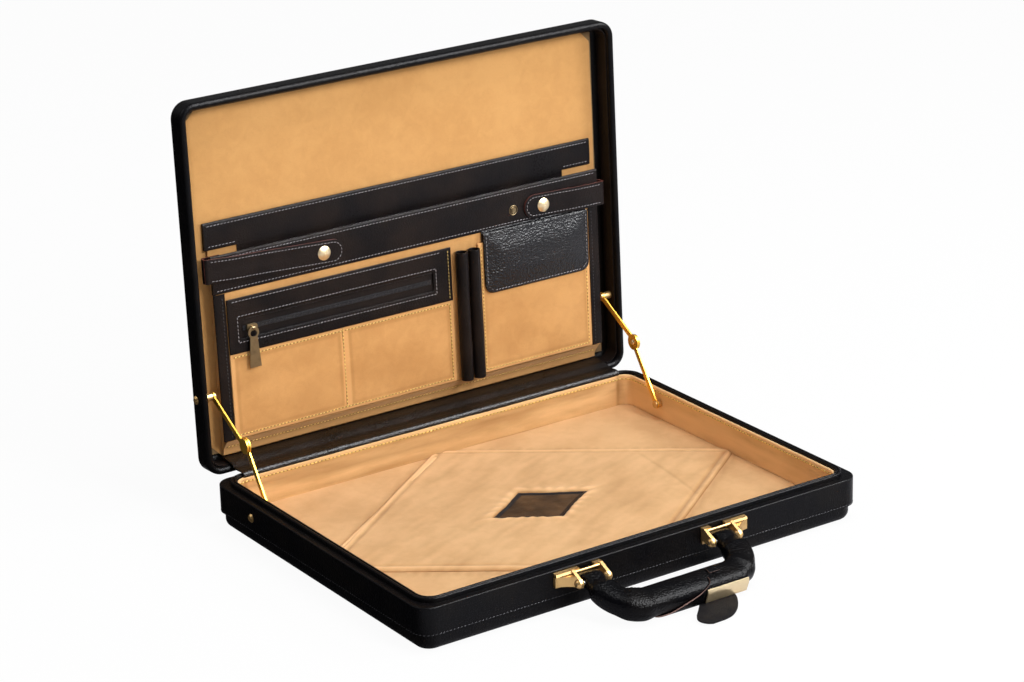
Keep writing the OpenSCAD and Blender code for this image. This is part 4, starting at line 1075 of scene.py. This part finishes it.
foot = [(11.6, -15.6), (17.2, -14.7), (21.5, -11.2), (25.9, -6.95), (26.3, -7.6), (22, -11.9), (17.4, -15.7),
        (11.6, -16.6)]
lid_strand("pocket_foot", foot, "x", (-pocket_x, pocket_x), 90, pocket_suede,
           ["pocket_base_strip"], 0.3)
foot_face = (N_WAY * 0.776 - S_WAY * 0.63).normalized()
# The foot's gold stitches lie over a dark brown strip of painted groove shade.
for name, s, n, thread, long, slant in (("foot_stitches", 19.0, -12.75, gold_thread, 2.4, 8),
                                        ("foot_groove", 19.1, -12.95, painted_groove_shade, 4.2, 0)):
    sew(name, [[on_lid(x, s, n) for x in (-198, 198)]], foot_face, thread, "lid",
        3.5, long, 0.7, slant)


# Zip pocket: a leather upper part with a long window and a suede lower part that a seam divides.
# The coil zip stays black behind the window, and its slider carries an aged brass pull.
leaf("zip_panel", (-192.2, -180, 19, 39), (105, 117.5, 135.5, 155), -5.45, -4.1, band_leather,
     ["zip_pocket_top"], cell=3, wave=0.2, hole=(-180, 19, 117.5, 135.5))
zip_x, zip_s = (-192.2, -76.6, 39), (27.5, 104.9)
paint_light_and_nap(leaf("zip_pocket_suede", zip_x, zip_s, -6.5, -5.15, pocket_suede, ["zip_pocket_lower"],
          cell=1.6, puff=0.5, wave=0.25, soften=0.3), pocket_light_and_nap(zip_x, zip_s))
leaf("zip_tape", (-188, 27), (114.5, 138.5), -6.5, -5.7, lining_leather, ["zipper"], cell=5,
     soften=0)
coil_black = thread_finish("coil_black", (0.03, 0.032, 0.038, 1), 0.3)
for row, s in (("upper", 127.6), ("lower", 125.4)):
    lid_row("zip_coil_" + row, [(-178, s, 17, s)], -5.25, coil_black, pitch=1.35,
            long=2.9, thick=0.5, slant=74)
for row, s in (("upper", 135.2), ("lower", 117.8)):
    lid_row("zip_window_fold_" + row, [(-179, s, 18, s)], -4.35, band_leather, pitch=3.0, long=4.4, thick=0.5,
            slant=0)
lid_row("zip_panel_stitches", [(-188, 152.2, 27, 152.2), (-183, 138.3, 22, 138.3), (-183, 114.6, 22, 114.6),
                               (22, 114.6, 22, 138.3), (-183, 138.3, -183, 114.6)], -4.0, grey_thread)
lid_row("zip_panel_side_stitches", [(35.6, 107, 35.6, 153)], -4.0, gold_thread)
gold_row("zip_pocket_stitches", [(-189, 101.8, -79, 101.8), (-75.6, 101.8, 36, 101.8), (-189, 30.6, 36, 30.6),
                                 (35.4, 32, 35.4, 101), (-78.2, 30, -78.2, 104)], -4.62)
dress(old_brass, "zip_slider", "zip_pull")


# Pen loops: two tubes of the bands' leather, open at both ends, that lie side by side between the
# zip pocket and the card pocket. A seam holds them down between the tubes.
pen_foot, pen_long, pen_half_wide, pen_half_deep = 27.6, 121.8, 5.75, 5.65
for i, x in enumerate((48.0, 61.4)):
    def pen_place(u, v, x=x, i=i):
        turn = 2 * pi * v
        s = pen_foot + pen_long * u
        sag = 0.35 * wander(s * 0.04, cos(turn) * 0.8, i * 7 + sin(turn) * 0.8)
        wide, deep = pen_half_wide + sag, pen_half_deep + sag
        dent = 0.9 * hump(abs((v - 0.16 + 0.5) % 1 - 0.5), 0.03) * soft((u - 0.35) / 0.5)
        return on_lid(x + (wide - dent) * cos(turn), s, -0.7 + (deep - dent) * sin(turn))

    loop = skin("pen_tube_%d" % (i + 1), 60, 44, pen_place)
    weld(loop)
    thicken(loop, 0.9, -1)
    bevel(loop, 0.25, angle=60)
    hand_over(loop, band_leather, "lid", ["pen_loops"])
leaf("pen_loop_seam", (53.7, 55.7), (28.5, 148), -6.5, -5.6, band_leather, cell=5)


# Card pocket: a flat suede pocket sewn on three sides with gold thread. Its puffed flap of glossy
# pebbled leather is sewn round its edge in grey and swings up from a root under the front band.
card_x, card_s = (68.2, 190.2), (28, 152)
paint_light_and_nap(leaf("card_pocket", card_x, card_s, -6.5, -3.95, pocket_suede, ["flap_pocket"], cell=1.8,
          puff=0.5, wave=0.3, soften=0.6), pocket_light_and_nap(card_x, card_s))
gold_row("card_pocket_stitches", [(71.4, 31, 71.4, 149), (187, 31, 187, 149), (72, 31, 186.5, 31)], -3.75)
flap_leather = grain_finish("flap_leather", (0.003, 0.003, 0.0045, 1), (0.007, 0.006, 0.0065, 1), 0.17,
                            1.7, 0.9, 0.44, 0.1)
flap = leaf("card_flap", (73.2, 189.2), (103, 161), -3.5, -1.7, flap_leather, ["pocket_flap"],
            "pocket_flap", corner=9, corners=(1, 1, 0, 0), cell=2, puff=2.4, wave=0.35, soften=0.7)
leaf("card_flap_root", (73.4, 189), (150, 162.5), -6.5, -5.0, flap_leather, soften=0.3)
flap_edge = [(76.0, 158, 76.0, 113), (76.6, 110.6, 81, 106.2), (83, 105.7, 179.5, 105.7),
             (181.5, 106.2, 185.8, 110.6), (186.5, 113, 186.5, 158)]
lid_row("card_flap_stitches", flap_edge, -1.32, grey_thread, "pocket_flap", thick=0.3)


# Snap straps: doubled leather with red-brown painted edges. Each comes round from a tab at the
# lid's side, and a domed cap near its rounded tip presses onto a stud on the front pocket's band.
painted_edge = grain_finish("painted_edge", (0.10, 0.026, 0.022, 1), (0.14, 0.045, 0.035, 1), 0.4, 1.1, 0.08)
strap_leather = grain_finish("strap_leather", (0.006, 0.005, 0.0055, 1), (0.013, 0.009, 0.008, 1), 0.31,
                             1.2, 0.44, 0.12, 0.4)
strap_half, strap_round, seam_off, turn_in, strap_thick = 11.0, 12.3, 8.6, 1.4, 1.8


def strap_bow(run):
    """How far a strap bows out from the lid a little way past its root."""
    return 1.3 * hump(run - 26, 17)


for side, sign, length, root, tip in (("left", -1, 138, 184, 176), ("right", 1, 89, 172.5, 175)):
    lean = atan2(root - tip, length)

    def strap_point(run, off, n, sign=sign, lean=lean, root=root):
        """A place on the strap: run from its root towards its tip, off across it."""
        flat = soft(run / 30)
        bend = max(0.0, 1 - max(0.0, run + turn_in) / turn_in) * pi / 2
        run = max(0.0, run)
        x = 208.6 - run * cos(lean) - off * sin(lean) * flat + 1.3 * sin(bend)
        s = root - run * sin(lean) + off * (1 - (1 - cos(lean)) * flat)
        return on_lid(sign * x, s, n - 1.3 * (1 - cos(bend)))

    def strap_place(u, v, length=length, strap_point=strap_point):
        along = u if u < 0.9 else 0.9 + 0.1 * sin((u - 0.9) * 5 * pi)
        run = -turn_in + (length + turn_in - 1.3) * along
        over = max(0.0, run - (length - strap_round))
        off = (2 * v - 1) * sqrt(max(0.0, strap_half ** 2 - over * over))
        bow = 0.4 * wander(run * 0.02, v * 2, length) + strap_bow(run)
        return strap_point(run, off, -4.3 + bow * soft((run + 1) / 14) * soft((length - run) / 40))

    strap = skin("snap_strap_" + side, round(length / 1.3), 18, strap_place)
    two_finishes(strap, strap_leather, painted_edge)
    weld(strap)
    thicken(strap, strap_thick, 0, 1)
    bevel(strap, 0.3)
    hand_over(strap, None, "strap_" + side, ["strap_" + side])
    rows = [[strap_point(run, off, -3.25 + strap_bow(run) * soft((run + 1) / 14))
             for run in (3, 9, 15, 21, 27, 34, 42, 52, 64, length - strap_round)]
            for off in (-seam_off, seam_off)]
    rows.append([strap_point(length - strap_round + seam_off * cos(a), seam_off * sin(a), -3.25)
                 for a in (radians(90 - 15 * k) for k in range(13))])
    sew("strap_stitches_" + side, rows, N_WAY, grey_thread, "strap_" + side, 3.3, 2.4, 0.3)
    dress(pale_brass, "snap_cap_" + side)

    def tab_place(u, v, sign=sign, root=root):
        """Flat behind the strap's root and bent forward round a radius."""
        run = 24 * u
        lead, radius = 15.0, 2.9
        if run < lead:
            x, n = 192 + run, -11.6
        elif run < lead + radius * pi / 2:
            a = (run - lead) / radius
            x, n = 207 + radius * sin(a), -11.6 + radius * (1 - cos(a))
        else:
            x, n = 209.9, -8.7 + (run - lead - radius * pi / 2)
        return on_lid(sign * x, root + (2 * v - 1) * strap_half, min(n, -5.3))

    tab = skin("strap_tab_" + side, 44, 8, tab_place)
    two_finishes(tab, strap_leather, painted_edge)
    weld(tab)
    thicken(tab, strap_thick, 0, 1)
    hand_over(tab, None, "lid", ["strap_tabs"])
dress(old_brass, "snap_studs")
for reach, thick in ((4.3, 0.42), (2.9, 0.36)):
    ring = lone(bpy.ops.mesh.primitive_torus_add, major_radius=reach * MM, minor_radius=thick * MM,
                major_segments=40, minor_segments=8)
    ring.name = "snap_stud_ring_%d" % round(reach)
    ring.matrix_world = Matrix.Translation(on_lid(109.4, 175.3, -5.45)) @ lid_turn.to_3x3().to_4x4()
    hand_over(ring, old_brass, "lid", angle=35)
